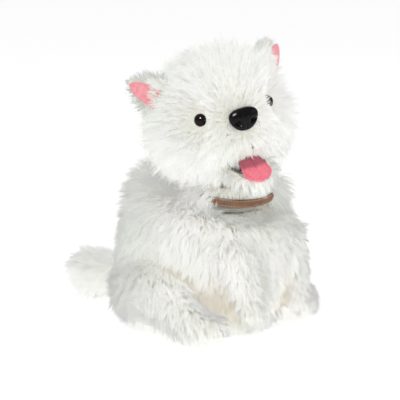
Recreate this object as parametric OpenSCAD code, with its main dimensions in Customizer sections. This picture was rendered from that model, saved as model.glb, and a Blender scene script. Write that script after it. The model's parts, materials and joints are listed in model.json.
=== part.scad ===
// Interactive plush puppy: sitting, life-like white terrier, about 290 mm tall.
// Origin: centre of the flat base face, on the floor. +Z up, nose towards -Y, its left side towards +X.
// Everything is drawn in the rest pose: head turned and tilted to its right, mouth open.

/* [Torso] */
// Half width of the fur torso at its widest, X
torso_rx = 82; // [78:1:86]
// Half depth of the fur torso at its widest, Y
torso_ry = 91; // [88:1:94]
// Height of the shoulders' top, above the collar's lower edge
torso_top = 152; // [149:1:153]
// Thickness of the fur fabric, backing and pile together
pile = 9; // [7:0.5:10]

/* [Neck] */
// Place of the neck's pivot: forward of the origin, Y
neck_y = -30; // [-32:1:-28]
// Height of the neck's pivot
neck_z = 160; // [158:1:162]
// Head turn in the rest pose, towards its right
rest_turn = 26; // [0:1:30]
// Head tilt in the rest pose, towards its right
rest_tilt = 11; // [0:1:15]
// Forward pitch of the collar and of the neck seam
neck_pitch = 12; // [8:1:14]

/* [Head] */
// Outer radius of the plastic skull
skull_r = 44; // [42:1:45]
// Radius of a bead eye
eye_r = 7; // [6:0.5:8]
// Distance between the eyes' centres
eye_gap = 71; // [66:1:74]
// Width of the moulded nose
nose_w = 31; // [26:1:33]
// Mouth opening in the rest pose
rest_open = 18; // [10:1:20]
// Width of the felt tongue
tongue_w = 30; // [26:1:32]

/* [Collar] */
// Radius of the collar's inner face
collar_r = 45; // [44:0.5:47]
// Width of the collar strap
collar_w = 9; // [7:0.5:10]

/* [Tail] */
// Radius of the tail's round fur end
tail_r = 22; // [18:1:24]
// Distance of the tail's end from the origin, Y
tail_y = 165; // [160:1:168]

/* [Housing] */
// Outer width of the plastic housing
housing_w = 80; // [78:1:84]
// Height of the housing's roof
housing_top = 122; // [120:1:122]
// Wall of the moulded plastic parts
wall = 2.4; // [1.8:0.2:2.6]
// Thickness of the base plate
base_t = 3; // [2.5:0.5:3]

/* [Gears] */
// Gear module, pitch diameter over teeth
gear_module = 0.8; // [0.8:0.1:0.8]
// Teeth of every motor pinion
pinion_teeth = 13; // [13:2:15]
// Teeth of the full turn gear
turn_teeth = 36; // [34:2:38]
// Teeth that the tilt sector would have as a full gear
tilt_teeth = 45; // [43:2:47]
// Teeth that the jaw sector would have as a full gear
jaw_teeth = 27; // [25:2:29]
// Teeth that the tail sector would have as a full gear
tail_teeth = 30; // [28:2:32]

/* [Hidden] */
$fn = 48;

// Clearances
gap = 0.6; // between soft pieces and their neighbours
run = 0.05; // radial, between a pin and its bore
fit_gap = 0.1; // between still pieces

// Torso outline from the floor up: [centre y, height, x radius, y radius, pitch]
torso_rings = [
    [8, 1.5, 0.85, 0.81, 0], [8, 6, 0.91, 0.87, 0], [8, 18, 0.97, 0.92, 0], [7, 38, 1, 0.96, 0],
    [5, 60, 1, 1, 0], [3, 85, 1, 1, 0], [1, 104, 0.99, 0.98, 1], [-3, 117, 0.96, 0.94, 4],
    [-7, 128, 0.92, 0.89, 8], [-10, 137, 0.86, 0.83, 11], [-9, 145, 0.75, 0.72, neck_pitch],
    [-8, torso_top - 3, 0.6, 0.56, neck_pitch], [-8, torso_top, 0.4, 0.38, neck_pitch]
];

// Head outline in head coordinates, from the neck up: [centre y, height, x radius, y radius, pitch]
head_rings = [
    [-2, 9, 48, 50, neck_pitch], [-3, 14, 56, 57, 10], [-3, 24, 62, 61, 7], [-3, 38, 66, 63, 4],
    [-2, 54, 68, 63, 0], [0, 72, 67, 59, 0], [2, 90, 62, 55, 0], [3, 105, 53, 48, 0],
    [3, 116, 41, 38, 0], [3, 123, 26, 25, 0], [3, 126, 12, 12, 0]
];
head_centre = [0, -2, 58];
skull_low = 20;
muzzle_r = 19;
muzzle_z = 56;
muzzle_front = -54;
nose_at = [0, -61, 68.5];
eye_at = [eye_gap / 2, -36.5, 73];
ear_root = [56, 4, 94];
ear_tip = [78, 20, 113];
ear_turn = 36;
ear_root_r = 21;
ear_tip_r = 8.5;
jaw_pin = [0, -26, 27];
button_stem_r = 2;
back_button_z = 92;
head_button_pitch = 22;

// Base and battery bay
base_w = 98;
base_front = -52;
base_back = 68;
base_corner = 18;
base_screw_y = [-40, 56];
door_w = 64;
door_front = 4;
door_back = 62;
door_gap = 0.3;
cell_d = 14.2;
cell_l = 50;
cell_pitch = 15.3;
cell_mid = 28;
door_screw_y = 57.6;
switch_y = -36;
knob_w = 6;
knob_travel = 4;
tower_back = 22;
tub_top = 27;
tub_back = 66.4;
split_y = -15;
speaker_z = 66;

// Drive train
motor_d = 15.4;
motor_l = 20;
shaft_r = 1;
gear_t = 4;
mesh_play = 0.06;
function centre_distance(teeth) = gear_module * (teeth + pinion_teeth) / 2 + mesh_play;
turn_distance = centre_distance(turn_teeth);
tilt_distance = centre_distance(tilt_teeth);
jaw_distance = centre_distance(jaw_teeth);
tail_distance = centre_distance(tail_teeth);
turn_gear_z = 107;
tail_pivot_y = 60;
tail_gear_z = 49.5;
tilt_pin_r = 2;
jaw_pin_r = 1.5;
jaw_arm_x = [-12.2, 8.2];
tail_pin_r = 3;
tail_arm_z = 46;
tail_rod_y = 93;
tail_rod_r = 2.8;
tail_rod_l = 64;
tail_rod_drop = 100.8;
spindle_r = 8;
plate_z = 124.8;
plate_t = 3.4;
post_y = 11;
post_t = 4;

// --- Frames ---
module neck_frame() {
    translate([0, neck_y, neck_z])
        rotate([0, 0, -rest_turn])
            children();
}

module head_frame() {
    neck_frame()
        rotate([0, -rest_tilt, 0])
            children();
}

module jaw_frame() {
    head_frame()
        translate(jaw_pin)
            rotate([rest_open, 0, 0])
                children();
}

// --- Shared shapes ---
module span_box(low, high) {
    translate(low)
        cube(high - low);
}

module rounded_rect(w, d, r) {
    square([w - 2 * r, d], center = true);
    square([w, d - 2 * r], center = true);
    for (x = [-1, 1], y = [-1, 1])
        translate([x * (w / 2 - r), y * (d / 2 - r)])
            circle(r);
}

// A soft form drawn through rings; grow moves its skin outward, or inward when negative
module loft(rings, grow = 0, unit = [1, 1]) {
    for (i = [0 : len(rings) - 2])
        hull()
            for (k = [i, i + 1])
                translate([0, rings[k][0], rings[k][1]])
                    rotate([rings[k][4], 0, 0])
                        scale([rings[k][2] * unit[0] + grow, rings[k][3] * unit[1] + grow, 1])
                            cylinder(r = 1, h = 0.02, $fn = 40);
}

module torso_form(grow = 0) {
    loft(torso_rings, grow, [torso_rx, torso_ry]);
}

// A soft limb through balls: [x, y, z, r]
module limb(balls, grow = 0) {
    for (i = [0 : len(balls) - 2])
        hull()
            for (k = [i, i + 1])
                translate([balls[k][0], balls[k][1], balls[k][2]])
                    sphere(r = balls[k][3] + grow, $fn = 28);
}

// Involute flank, from the base circle to the tip
pressure = 25;
function flank_point(rb, t) =
    let (roll = t * PI / 180)
    [rb * (cos(t) + roll * sin(t)), rb * (sin(t) - roll * cos(t))];
function spin(p, a) = [p[0] * cos(a) - p[1] * sin(a), p[0] * sin(a) + p[1] * cos(a)];

// One tooth about angle a, thinned for backlash
function tooth(teeth, a) =
    let (
        rp = gear_module * teeth / 2,
        rb = rp * cos(pressure),
        ra = rp + 0.85 * gear_module,
        rf = rp - 1.15 * gear_module,
        t_pitch = sqrt(pow(rp / rb, 2) - 1) * 180 / PI,
        t_tip = sqrt(pow(ra / rb, 2) - 1) * 180 / PI,
        half = 90 / teeth - 0.06 / rp * 180 / PI + t_pitch - atan(t_pitch * PI / 180),
        low = [for (t = [0 : 4]) spin(flank_point(rb, t * t_tip / 4), a - half)],
        back = [for (t = [4 : -1 : 0]) flank_point(rb, t * t_tip / 4)],
        high = [for (p = back) spin([p[0], -p[1]], a + half)]
    )
    concat([spin([rf, 0], a - half)], low, high, [spin([rf, 0], a + half)]);

// Full gear, tooth 0 along +X
module gear(teeth, thick, bore) {
    difference() {
        linear_extrude(thick)
            polygon([for (i = [0 : teeth - 1]) each tooth(teeth, i * 360 / teeth)]);
        translate([0, 0, -1])
            cylinder(r = bore, h = thick + 2);
    }
}

// Sector of a gear: teeth on both sides of +X, from an apex inside its part's hub
module sector(teeth, side_teeth) {
    root_r = gear_module * teeth / 2 - 1.15 * gear_module;
    end_angle = (side_teeth + 0.5) * 360 / teeth;
    points = [for (i = [-side_teeth : side_teeth]) each tooth(teeth, i * 360 / teeth)];
    linear_extrude(gear_t)
        polygon(concat([[0, 0], spin([root_r, 0], -end_angle)], points, [spin([root_r, 0], end_angle)]));
}

// Motor can with its shaft up +Z
module motor(can_l) {
    intersection() {
        cylinder(d = motor_d, h = can_l);
        translate([0, 0, can_l / 2])
            cube([motor_d + 1, motor_d * 0.8, can_l], center = true);
    }
    translate([0, 0, can_l - 0.1])
        cylinder(r = 3, h = 1.1);
    translate([0, 0, can_l - 0.1])
        cylinder(r = shaft_r, h = 8);
    for (x = [-1, 1])
        translate([x * 4, 0, -1.1])
            cube([1.2, 0.5, 2.4], center = true);
}

// Pan head screw, head at the origin, shank along +Z
module screw(head_r, head_h, shank_r, shank_l) {
    difference() {
        cylinder(r = head_r, h = head_h);
        for (a = [0, 90])
            rotate([0, 0, a])
                translate([-head_r * 0.6, -0.35, -0.1])
                    cube([head_r * 1.2, 0.7, head_h * 0.6]);
    }
    translate([0, 0, head_h])
        cylinder(r = shank_r, h = shank_l);
}

// --- Torso: covers ---
// Room inside the torso cover, closed over the floor seam
module torso_inside(thick) {
    intersection() {
        translate([0, 0, -thick])
            torso_form(-thick);
        translate([0, 0, torso_rings[0][1] + thick])
            cylinder(r = 2 * torso_ry, h = 2 * torso_top);
    }
}

// Opening in the shoulders for the neck, the collar and the head's underside
module neck_opening() {
    translate([0, neck_y, torso_top - 35])
        cylinder(r = collar_r - 3, h = 45);
    collar_frame()
        translate([0, 0, -collar_w])
            cylinder(r1 = collar_r + 5.5, r2 = collar_r + 14, h = 40);
}

module torso_cover() {
    color("white")
        difference() {
            torso_form();
            torso_inside(pile);
            translate([0, (base_front + base_back) / 2, -1])
                linear_extrude(14)
                    rounded_rect(base_w + 2 * gap, base_back - base_front + 2 * gap, base_corner);
            neck_opening();
            translate([0, tail_pivot_y + 34, tail_gear_z])
                cube([44, 40, 26], center = true);
        }
}

module skeleton_space() {
    span_box([-housing_w / 2 - 9, base_front - 1, 0], [housing_w / 2 + 9, base_back + 1, tub_top + 2]);
    span_box([-housing_w / 2 - 1, base_front - 1, 0], [housing_w / 2 + 1, tower_back + 6, housing_top + 2]);
    span_box([-24, tower_back - 1, tub_top - 1], [24, tail_pivot_y + 60, 68]);
}

module torso_stuffing() {
    color("ivory")
        difference() {
            torso_inside(pile + gap);
            skeleton_space();
            neck_opening();
        }
}

module foreleg(side) {
    color("white")
        difference() {
            limb([
                [side * 40, -52, 106, 22], [side * 40, -66, 92, 23.5],
                [side * 39, -73, 76, 22], [side * 38, -77, 62, 20], [side * 37, -81, 48, 18.5],
                [side * 37, -84, 37, 19], [side * 37, -89, 31, 18], [side * 37, -91, 30, 17]
            ]);
            torso_form(gap);
            span_box([-100, -20, 0], [100, 100, 200]);
        }
}

module hindleg(side) {
    color("white")
        difference() {
            limb([
                [side * 58, 38, 40, 34], [side * 64, 22, 47, 37], [side * 69, 6, 49, 36],
                [side * 73, -10, 44, 33], [side * 77, -26, 34, 28], [side * 81, -42, 25, 23],
                [side * 82, -56, 21, 20], [side * 78, -66, 19, 18.5], [side * 73, -70, 18, 17]
            ]);
            torso_form(gap);
            translate([-150, -150, -100])
                cube([300, 300, 101.5]);
        }
}

module foreleg_cover_right() { foreleg(-1); }
module foreleg_cover_left() { foreleg(1); }
module hindleg_cover_right() { hindleg(-1); }
module hindleg_cover_left() { hindleg(1); }

// --- Collar ---
module collar_frame() {
    translate([0, neck_y, neck_z - 13])
        rotate([neck_pitch, 0, -rest_turn])
            children();
}

module collar_strap() {
    color("saddlebrown")
        collar_frame()
            difference() {
                translate([0, 0, -collar_w / 2])
                    cylinder(r = collar_r + 1.8, h = collar_w);
                translate([0, 0, -collar_w])
                    cylinder(r = collar_r, h = 2 * collar_w);
                for (a = [22, 38])
                    rotate([0, 0, a])
                        rotate([0, 90, 0])
                            cylinder(r = 0.85, h = 60);
            }
}

module collar_buckle() {
    color("goldenrod")
        collar_frame()
            rotate([0, 0, 78])
                translate([collar_r + 2.9, 0, 0]) {
                    difference() {
                        cube([1.6, 11, collar_w + 5], center = true);
                        cube([3, 8, collar_w + 2], center = true);
                    }
                    cube([1.2, 8.4, 1.2], center = true);
                }
}

module collar_rivets() {
    color("goldenrod")
        collar_frame()
            for (a = [22, 38])
                rotate([0, 0, a])
                    rotate([0, 90, 0]) {
                        translate([0, 0, collar_r - 0.4])
                            cylinder(r = 0.8, h = 2.6);
                        translate([0, 0, collar_r + 1.85])
                            cylinder(r1 = 1.8, r2 = 1.2, h = 0.8);
                    }
}

// --- Torso: skeleton ---
module base_screw_places() {
    for (x = [-1, 1], y = base_screw_y)
        translate([x * (housing_w / 2 + 3.5), y, 0])
            children();
}

module base_plate() {
    color("whitesmoke")
        difference() {
            translate([0, (base_front + base_back) / 2, 0])
                linear_extrude(base_t)
                    rounded_rect(base_w, base_back - base_front, base_corner);
            translate([-door_w / 2 - door_gap, door_front - door_gap, -1])
                cube([door_w + 2 * door_gap, door_back - door_front + 2 * door_gap, base_t + 2]);
            translate([0, switch_y, 0])
                cube([knob_w + knob_travel + 1, 5, 4 * base_t], center = true);
            base_screw_places() {
                translate([0, 0, -1])
                    cylinder(r = 1.65, h = base_t + 2);
                translate([0, 0, -1])
                    cylinder(r = 3.2, h = 2.7);
            }
        }
}

module base_screws() {
    color("silver")
        base_screw_places()
            translate([0, 0, 0.2])
                screw(2.9, 1.5, 1.5, 9);
}

module housing_screw_places() {
    for (x = [-1, 1], z = [42, 106])
        translate([x * 32.5, 0, z])
            rotate([90, 0, 0])
                children();
}

module housing_front() {
    hw = housing_w / 2;
    color("gainsboro")
        difference() {
            union() {
                difference() {
                    span_box([-hw, base_front + 2, base_t + fit_gap], [hw, split_y - fit_gap, housing_top]);
                    span_box([-hw + wall, base_front + 2 + wall, 0], [hw - wall, 0, housing_top - wall]);
                }
                housing_screw_places()
                    translate([0, 0, -split_y + fit_gap])
                        cylinder(r = 4, h = 14);
                for (x = [-1, 1])
                    translate([x * (hw + 3.5), base_screw_y[0], base_t + fit_gap])
                        cylinder(r = 4.5, h = 10);
            }
            base_screw_places()
                cylinder(r = 1.55, h = 12);
            housing_screw_places()
                cylinder(r = 1.45, h = 27);
            translate([0, 0, speaker_z])
                rotate([90, 0, 0])
                    cylinder(r = 16, h = 80);
            translate([0, neck_y, housing_top - 10])
                cylinder(r = spindle_r + 4, h = 20);
            translate([0, neck_y + turn_distance, housing_top - 10])
                cylinder(r = 2, h = 8);
        }
}

module housing_rear() {
    hw = housing_w / 2;
    low = base_t + fit_gap;
    color("gainsboro")
        difference() {
            union() {
                difference() {
                    union() {
                        span_box([-hw, split_y + fit_gap, low], [hw, tower_back, housing_top]);
                        span_box([-hw, split_y + fit_gap, low], [hw, tub_back, tub_top]);
                    }
                    for (room = [[tower_back, housing_top], [tub_back, tub_top]])
                        span_box([-hw + wall, split_y - 1, 0], [hw - wall, room[0] - wall, room[1] - wall]);
                }
                housing_screw_places()
                    translate([0, 0, -tower_back])
                        cylinder(r = 4.4, h = tower_back - split_y - fit_gap);
                for (x = [-1, 1])
                    translate([x * (hw + 3.5), base_screw_y[1], low])
                        cylinder(r = 4.5, h = 10);
            }
            base_screw_places()
                cylinder(r = 1.55, h = 12);
            housing_screw_places() {
                translate([0, 0, -tower_back - 1])
                    cylinder(r = 1.65, h = 60);
                translate([0, 0, -tower_back - 1])
                    cylinder(r = 3.2, h = tower_back - 5);
            }
            translate([0, neck_y, housing_top - 10])
                cylinder(r = spindle_r + 4, h = 20);
            translate([0, tail_pivot_y, tub_top - 10])
                cylinder(r = tail_pin_r + run, h = 20);
            translate([0, tower_back - 6, back_button_z])
                rotate([-90, 0, 0])
                    cylinder(r = button_stem_r + 0.2, h = 12);
        }
}

module housing_screws() {
    color("silver")
        housing_screw_places()
            translate([0, 0, -7.8])
                screw(2.8, 1.8, 1.4, 27);
}

module battery_box() {
    low = base_t + fit_gap;
    color("dimgray")
        difference() {
            union() {
                span_box([-33.5, 2.6, low], [33.5, 53.6, 21.5]);
                translate([0, door_screw_y, low])
                    cylinder(r = 4, h = 10);
                span_box([-3, 53, low], [3, 56, 13]);
            }
            span_box([-32, 4.2, 0], [32, 52, 20]);
            translate([0, door_screw_y, 0])
                cylinder(r = 1.6, h = 12);
        }
}

module cell_places() {
    for (k = [-1 : 1])
        translate([0, cell_mid + k * cell_pitch, 12])
            mirror([k == 0 ? 1 : 0, 0, 0])
                children();
}

module battery_cells() {
    color("seagreen")
        cell_places()
            rotate([0, 90, 0]) {
                translate([0, 0, -cell_l / 2])
                    cylinder(d = cell_d, h = cell_l - 1.2);
                translate([0, 0, cell_l / 2 - 1.2])
                    cylinder(r = 2.7, h = 1.2);
            }
}

module battery_contacts() {
    color("silver")
        cell_places()
            for (x = [-1, 1]) {
                translate([x * 31.5, 0, 0])
                    cube([0.6, 11, 12], center = true);
                translate([x * 28.6 - 2.9, 0, 0])
                    rotate([0, 90, 0])
                        cylinder(r = 2.4, h = 5.8);
            }
}

module circuit_board() {
    color("darkgreen")
        difference() {
            span_box([-27, 14, 34], [27, 15.6, 98]);
            for (x = [-23, 23], z = [38, 94])
                translate([x, 0, z])
                    rotate([-90, 0, 0])
                        cylinder(r = 1.2, h = 40);
        }
}

module board_parts() {
    color("black") {
        span_box([-8, 12.2, 60], [8, 13.9, 72]);
        span_box([10, 11.4, 42], [22, 13.9, 48]);
        for (x = [-20, -10], z = [46, 84])
            translate([x, 13.9, z])
                rotate([90, 0, 0])
                    cylinder(r = 2.6, h = 5);
        span_box([6, 10.4, 84], [20, 13.9, 89]);
    }
}

module speaker_frame() {
    translate([0, base_front + 2 + wall, speaker_z])
        rotate([-90, 0, 0])
            children();
}

module speaker_basket() {
    color("dimgray")
        speaker_frame()
            difference() {
                union() {
                    translate([0, 0, fit_gap])
                        cylinder(r = 20, h = 1.6);
                    translate([0, 0, fit_gap])
                        cylinder(r1 = 18.5, r2 = 11, h = 7.5);
                }
                translate([0, 0, -1])
                    cylinder(r = 17, h = 2.2);
                translate([0, 0, 1])
                    cylinder(r1 = 17, r2 = 9.6, h = 7.4);
            }
}

module speaker_cone() {
    color("black")
        speaker_frame()
            rotate_extrude()
                polygon([
                    [0, 4.6], [5, 3.8], [15.2, 1.4], [15.8, 1.4],
                    [15.8, 1.9], [15.2, 1.9], [5.3, 4.4], [0, 5.2]
                ]);
}

module speaker_magnet() {
    color("silver")
        speaker_frame()
            translate([0, 0, 7.7])
                cylinder(r = 9, h = 5);
}

module microphone() {
    color("black")
        translate([24, base_front + 2 + wall + fit_gap, 96])
            rotate([-90, 0, 0])
                cylinder(r = 3, h = 3.2);
}

module switch_housing() {
    color("dimgray")
        difference() {
            span_box([-11, switch_y - 6, base_t + fit_gap], [11, switch_y + 6, 12]);
            span_box([-6.2, switch_y - 3.2, 0], [6.2, switch_y + 3.2, 8]);
        }
}

module neck_bearing() {
    color("ivory")
        translate([0, neck_y, 0])
            difference() {
                union() {
                    translate([0, 0, 114])
                        cylinder(r = spindle_r + 3.9, h = 9);
                    translate([0, 0, housing_top + fit_gap])
                        cylinder(r = 15.5, h = 2.2);
                }
                translate([0, 0, 100])
                    cylinder(r = spindle_r + run, h = 40);
            }
}

module turn_motor() {
    color("silver")
        translate([0, neck_y + turn_distance, turn_gear_z - 4 - motor_l])
            motor(motor_l);
}

module tail_motor() {
    color("silver")
        translate([0, tail_pivot_y - tail_distance, tub_top + 2.5])
            rotate([0, 0, 90])
                motor(tail_gear_z - tub_top - 4.5);
}

module tail_post() {
    color("silver")
        translate([0, tail_pivot_y, tub_top - wall - 1.2]) {
            cylinder(r = tail_pin_r, h = 33);
            translate([0, 0, wall + 1.3])
                cylinder(r = 6, h = 14.6);
            translate([0, 0, -1.2])
                cylinder(r = 3.8, h = 1.1 + 1.2);
        }
}

// --- Battery door, switch and back button ---
module battery_door() {
    color("whitesmoke")
        difference() {
            union() {
                span_box([-door_w / 2, door_front, 0.3], [door_w / 2, door_back, base_t]);
                for (y = [14, 42])
                    span_box([-20, y, base_t - 0.1], [20, y + 1.2, base_t + 0.9]);
            }
            translate([0, door_screw_y, -1])
                cylinder(r = 1.65, h = 10);
            translate([0, door_screw_y, -1])
                cylinder(r = 3.1, h = 2.9);
            for (x = [-10 : 4 : 10])
                translate([x, 9, 0])
                    cube([1.6, 5, 1.4], center = true);
        }
}

module door_screw() {
    color("silver")
        translate([0, door_screw_y, 0.4])
            screw(2.9, 1.5, 1.45, 8.6);
}

module power_switch_knob() {
    color("black")
        translate([-knob_travel / 2, switch_y, 0]) {
            span_box([-knob_w / 2, -2.3, 0.6], [knob_w / 2, 2.3, base_t + 0.2]);
            span_box([-knob_w / 2, -2.8, base_t + 0.15], [knob_w / 2, 2.8, 7.6]);
            span_box([-0.6, -2.3, 0.3], [0.6, 2.3, 0.8]);
        }
}

module back_touch_button() {
    color("tomato")
        translate([0, tower_back + 0.1, back_button_z])
            rotate([-90, 0, 0])
                touch_button();
}

// Button cap, stem through the wall and clip behind it; pressed along -Z
module touch_button() {
    translate([0, 0, 1.8])
        cylinder(r = 9, h = 2.4);
    translate([0, 0, -wall - 1.6])
        cylinder(r = button_stem_r, h = wall + 4.2);
    translate([0, 0, -wall - 1.6])
        cylinder(r = button_stem_r + 1, h = 1);
}

module turn_pinion() {
    color("ivory")
        translate([0, neck_y + turn_distance, turn_gear_z - 0.3])
            rotate([0, 0, 90])
                pinion(gear_t + 0.6);
}

// Motor pinion: with an odd number of teeth a gap faces -X, towards the gear
module pinion(thick) {
    gear(pinion_teeth, thick, shaft_r + run);
}

// --- Neck ---
module neck_yoke() {
    plate_low = plate_z - neck_z;
    color("gainsboro")
        neck_frame()
            difference() {
                union() {
                    translate([0, 0, plate_low])
                        cylinder(r = 24, h = plate_t);
                    translate([0, 0, turn_gear_z + gear_t + 0.3 - neck_z])
                        cylinder(r = spindle_r, h = plate_z + 1 - turn_gear_z - gear_t);
                    translate([0, 0, turn_gear_z - 0.5 - neck_z])
                        cylinder(r = 5, h = 10);
                    for (s = [-1, 1]) {
                        translate([-6, s * (post_y + post_t / 2) - post_t / 2, plate_low])
                            cube([12, post_t, -plate_low]);
                        translate([0, s * (post_y + post_t / 2) + post_t / 2, 0])
                            rotate([90, 0, 0])
                                cylinder(r = 6, h = post_t);
                    }
                    span_box([13, 9, plate_low], [31, 18, -6.4]);
                }
                translate([0, 30, 0])
                    rotate([90, 0, 0])
                        cylinder(r = tilt_pin_r + run, h = 60);
            }
}

module turn_gear() {
    color("ivory")
        translate([0, neck_y, turn_gear_z])
            rotate([0, 0, 90])
                gear(turn_teeth, gear_t, 5 + run);
}

module tilt_axle() {
    color("silver")
        neck_frame()
            translate([0, post_y + post_t + 2, 0])
                rotate([90, 0, 0])
                    cylinder(r = tilt_pin_r, h = 2 * (post_y + post_t + 2));
}

module tilt_motor() {
    color("silver")
        neck_frame()
            translate([tilt_distance, 20, 0])
                rotate([90, 0, 0])
                    motor(14);
}

module tilt_pinion() {
    color("ivory")
        neck_frame()
            translate([tilt_distance, -2.3, 0])
                rotate([-90, 0, 0])
                    pinion(gear_t + 0.6);
}

module neck_sleeve() {
    color("white")
        translate([0, neck_y, 138.5])
            difference() {
                cylinder(r = collar_r - 3.8, h = 15.5);
                translate([0, 0, -1])
                    cylinder(r = collar_r - 6.8, h = 20);
            }
}

// --- Head ---
module toward(p) {
    d = p - head_centre;
    translate(head_centre)
        rotate([0, acos(d[2] / norm(d)), atan2(d[1], d[0])])
            children();
}

module head_button_frame() {
    translate(head_centre)
        rotate([-head_button_pitch, 0, 0])
            translate([0, 0, skull_r])
                children();
}

module skull_form(grow = 0) {
    translate(head_centre)
        sphere(r = skull_r + grow);
    translate([0, -30, muzzle_z])
        rotate([90, 0, 0])
            cylinder(r = muzzle_r + grow, h = -muzzle_front - 30 + grow);
}

module nose_form(grow = 0) {
    hull()
        for (p = [[nose_w / 2 - 6.5, 5, 6.5], [4, -6, 6]], s = [-1, 1])
            translate(nose_at + [s * p[0], 0, p[1]])
                sphere(r = p[2] + grow, $fn = 32);
}

module head_cover() {
    color("white")
        head_frame()
            difference() {
                loft(head_rings);
                skull_form(gap);
                translate([0, 0, -20])
                    cylinder(r = 37, h = 46);
                span_box([-32, -100, -60], [32, -34, 34.5]);
                span_box([-19, -60, 20], [19, -10, 45]);
                nose_form(gap);
                for (s = [-1, 1])
                    toward([s * eye_at[0], eye_at[1], eye_at[2]])
                        translate([0, 0, 30])
                            cylinder(r = eye_r + 2.5, h = 60);
                head_button_frame()
                    cylinder(r = 9 + gap, h = 6);
            }
}

module skull_shell() {
    difference() {
        skull_form();
        translate(head_centre)
            sphere(r = skull_r - wall);
        translate([0, -20, muzzle_z])
            rotate([90, 0, 0])
                cylinder(r = muzzle_r - wall, h = -muzzle_front - 20 - wall);
        span_box([-100, -100, -40], [100, 100, skull_low]);
        span_box([-13.6, -100, 0], [13.6, -12, 36]);
        span_box([5, -42, 0], [13.6, -12, 43]);
        for (s = [-1, 1])
            toward([s * eye_at[0], eye_at[1], eye_at[2]])
                cylinder(r = 2.1, h = 60);
        translate([0, -40, nose_at[2] - 1])
            rotate([90, 0, 0])
                cylinder(r = 3.1, h = 30);
        head_button_frame()
            translate([0, 0, -10])
                cylinder(r = button_stem_r + 0.2, h = 20);
    }
}

module skull_screw_places() {
    for (s = [-1, 1], a = [-22, 38])
        translate(head_centre + (skull_r - 5.6) * [s * cos(a), 0, sin(a)])
            translate([0, 2, 0])
                rotate([90, 0, 0])
                    children();
}

module skull_boss(from, to) {
    intersection() {
        translate(head_centre)
            sphere(r = skull_r - 0.5);
        skull_screw_places()
            translate([0, 0, from])
                cylinder(r = 3.4, h = to - from);
    }
}

module skull_front() {
    color("gainsboro")
        head_frame()
            difference() {
                union() {
                    intersection() {
                        skull_shell();
                        span_box([-100, -100, 0], [100, -2 - fit_gap, 120]);
                    }
                    skull_boss(2 + fit_gap, 14);
                    for (s = [-1, 1])
                        translate([s * 15.3 - 1.5, -31, 21.5])
                            cube([3, 10, 16]);
                }
                skull_screw_places()
                    cylinder(r = 1.35, h = 13);
                translate([-30, jaw_pin[1], jaw_pin[2]])
                    rotate([0, 90, 0])
                        cylinder(r = jaw_pin_r + run, h = 60);
            }
}

module skull_rear() {
    color("gainsboro")
        head_frame()
            difference() {
                union() {
                    intersection() {
                        skull_shell();
                        span_box([-100, -2 + fit_gap, 0], [100, 100, 120]);
                    }
                    skull_boss(-9, 2 - fit_gap);
                }
                skull_screw_places()
                    translate([0, 0, -12])
                        cylinder(r = 1.6, h = 20);
                skull_screw_places()
                    translate([0, 0, -50])
                        cylinder(r = 3, h = 45);
            }
}

module skull_screws() {
    color("silver")
        head_frame()
            skull_screw_places()
                translate([0, 0, -6.6])
                    screw(2.6, 1.6, 1.3, 15);
}

module tilt_hub() {
    color("ivory")
        difference() {
            union() {
                neck_frame()
                    rotate([-90, 0, 0])
                        translate([0, 0, -gear_t / 2])
                            sector(tilt_teeth, 5);
                neck_frame()
                    translate([0, post_y - 0.5, 0])
                        rotate([90, 0, 0])
                            cylinder(r = 6, h = 2 * post_y - 1);
                head_frame()
                    span_box([-6, -8, 0], [6, 8, skull_low - 2]);
                head_frame()
                    translate([0, -2, skull_low - 2.6])
                        cylinder(r = 20, h = 2.4);
            }
            neck_frame()
                translate([0, 30, 0])
                    rotate([90, 0, 0])
                        cylinder(r = tilt_pin_r + run, h = 60);
        }
}

module eyes() {
    color("black")
        head_frame()
            for (s = [-1, 1])
                toward([s * eye_at[0], eye_at[1], eye_at[2]]) {
                    translate([0, 0, norm(eye_at - head_centre)])
                        sphere(r = eye_r);
                    translate([0, 0, skull_r - wall - 3])
                        cylinder(r = 2, h = 8);
                }
}

module nose() {
    color("black")
        head_frame() {
            nose_form();
            translate([0, -50, nose_at[2] - 1])
                rotate([90, 0, 0])
                    cylinder(r = 3, h = 12);
        }
}

// One ear's fur body: balls flattened front to back, turned outward and swept back
module ear_form(s, grow = 0) {
    for (i = [0 : 3])
        hull()
            for (k = [i, i + 1])
                translate(ear_point(s, k / 4))
                    rotate([0, 0, s * ear_turn])
                        scale([1, 0.4, 1])
                            sphere(r = ear_radius(k / 4) + grow, $fn = 28);
}

module ear_covers() {
    color("white")
        head_frame()
            for (s = [-1, 1])
                difference() {
                    ear_form(s);
                    loft(head_rings, gap);
                }
}

function ear_radius(t) = ear_root_r + t * (ear_tip_r - ear_root_r);
function ear_point(s, t) = [
    s * (ear_root[0] + t * (ear_tip[0] - ear_root[0])),
    ear_root[1] + t * (ear_tip[1] - ear_root[1]),
    ear_root[2] + t * (ear_tip[2] - ear_root[2])
];

module ear_linings() {
    color("pink")
        head_frame()
            for (s = [-1, 1])
                difference() {
                    hull()
                        for (t = [0.45, 0.92])
                            translate(ear_point(s, t))
                                rotate([0, 0, s * ear_turn])
                                    translate([0, -0.4 * ear_radius(t) - 1.4, 0])
                                        rotate([-90, 0, 0])
                                            cylinder(r = ear_radius(t) - 4, h = 3, $fn = 32);
                    ear_form(s, fit_gap);
                    loft(head_rings, gap);
                }
}

module palate_lining() {
    color("maroon")
        head_frame()
            translate([0, -48.5, 35])
                linear_extrude(1.6)
                    rounded_rect(25, 13.5, 6);
}

module jaw_motor() {
    color("silver")
        head_frame()
            translate([-9, jaw_pin[1], jaw_pin[2] + jaw_distance])
                rotate([0, 90, 0])
                    motor(14);
}

module jaw_axle() {
    color("silver")
        head_frame()
            translate([-17.5, jaw_pin[1], jaw_pin[2]])
                rotate([0, 90, 0])
                    cylinder(r = jaw_pin_r, h = 35);
}

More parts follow.
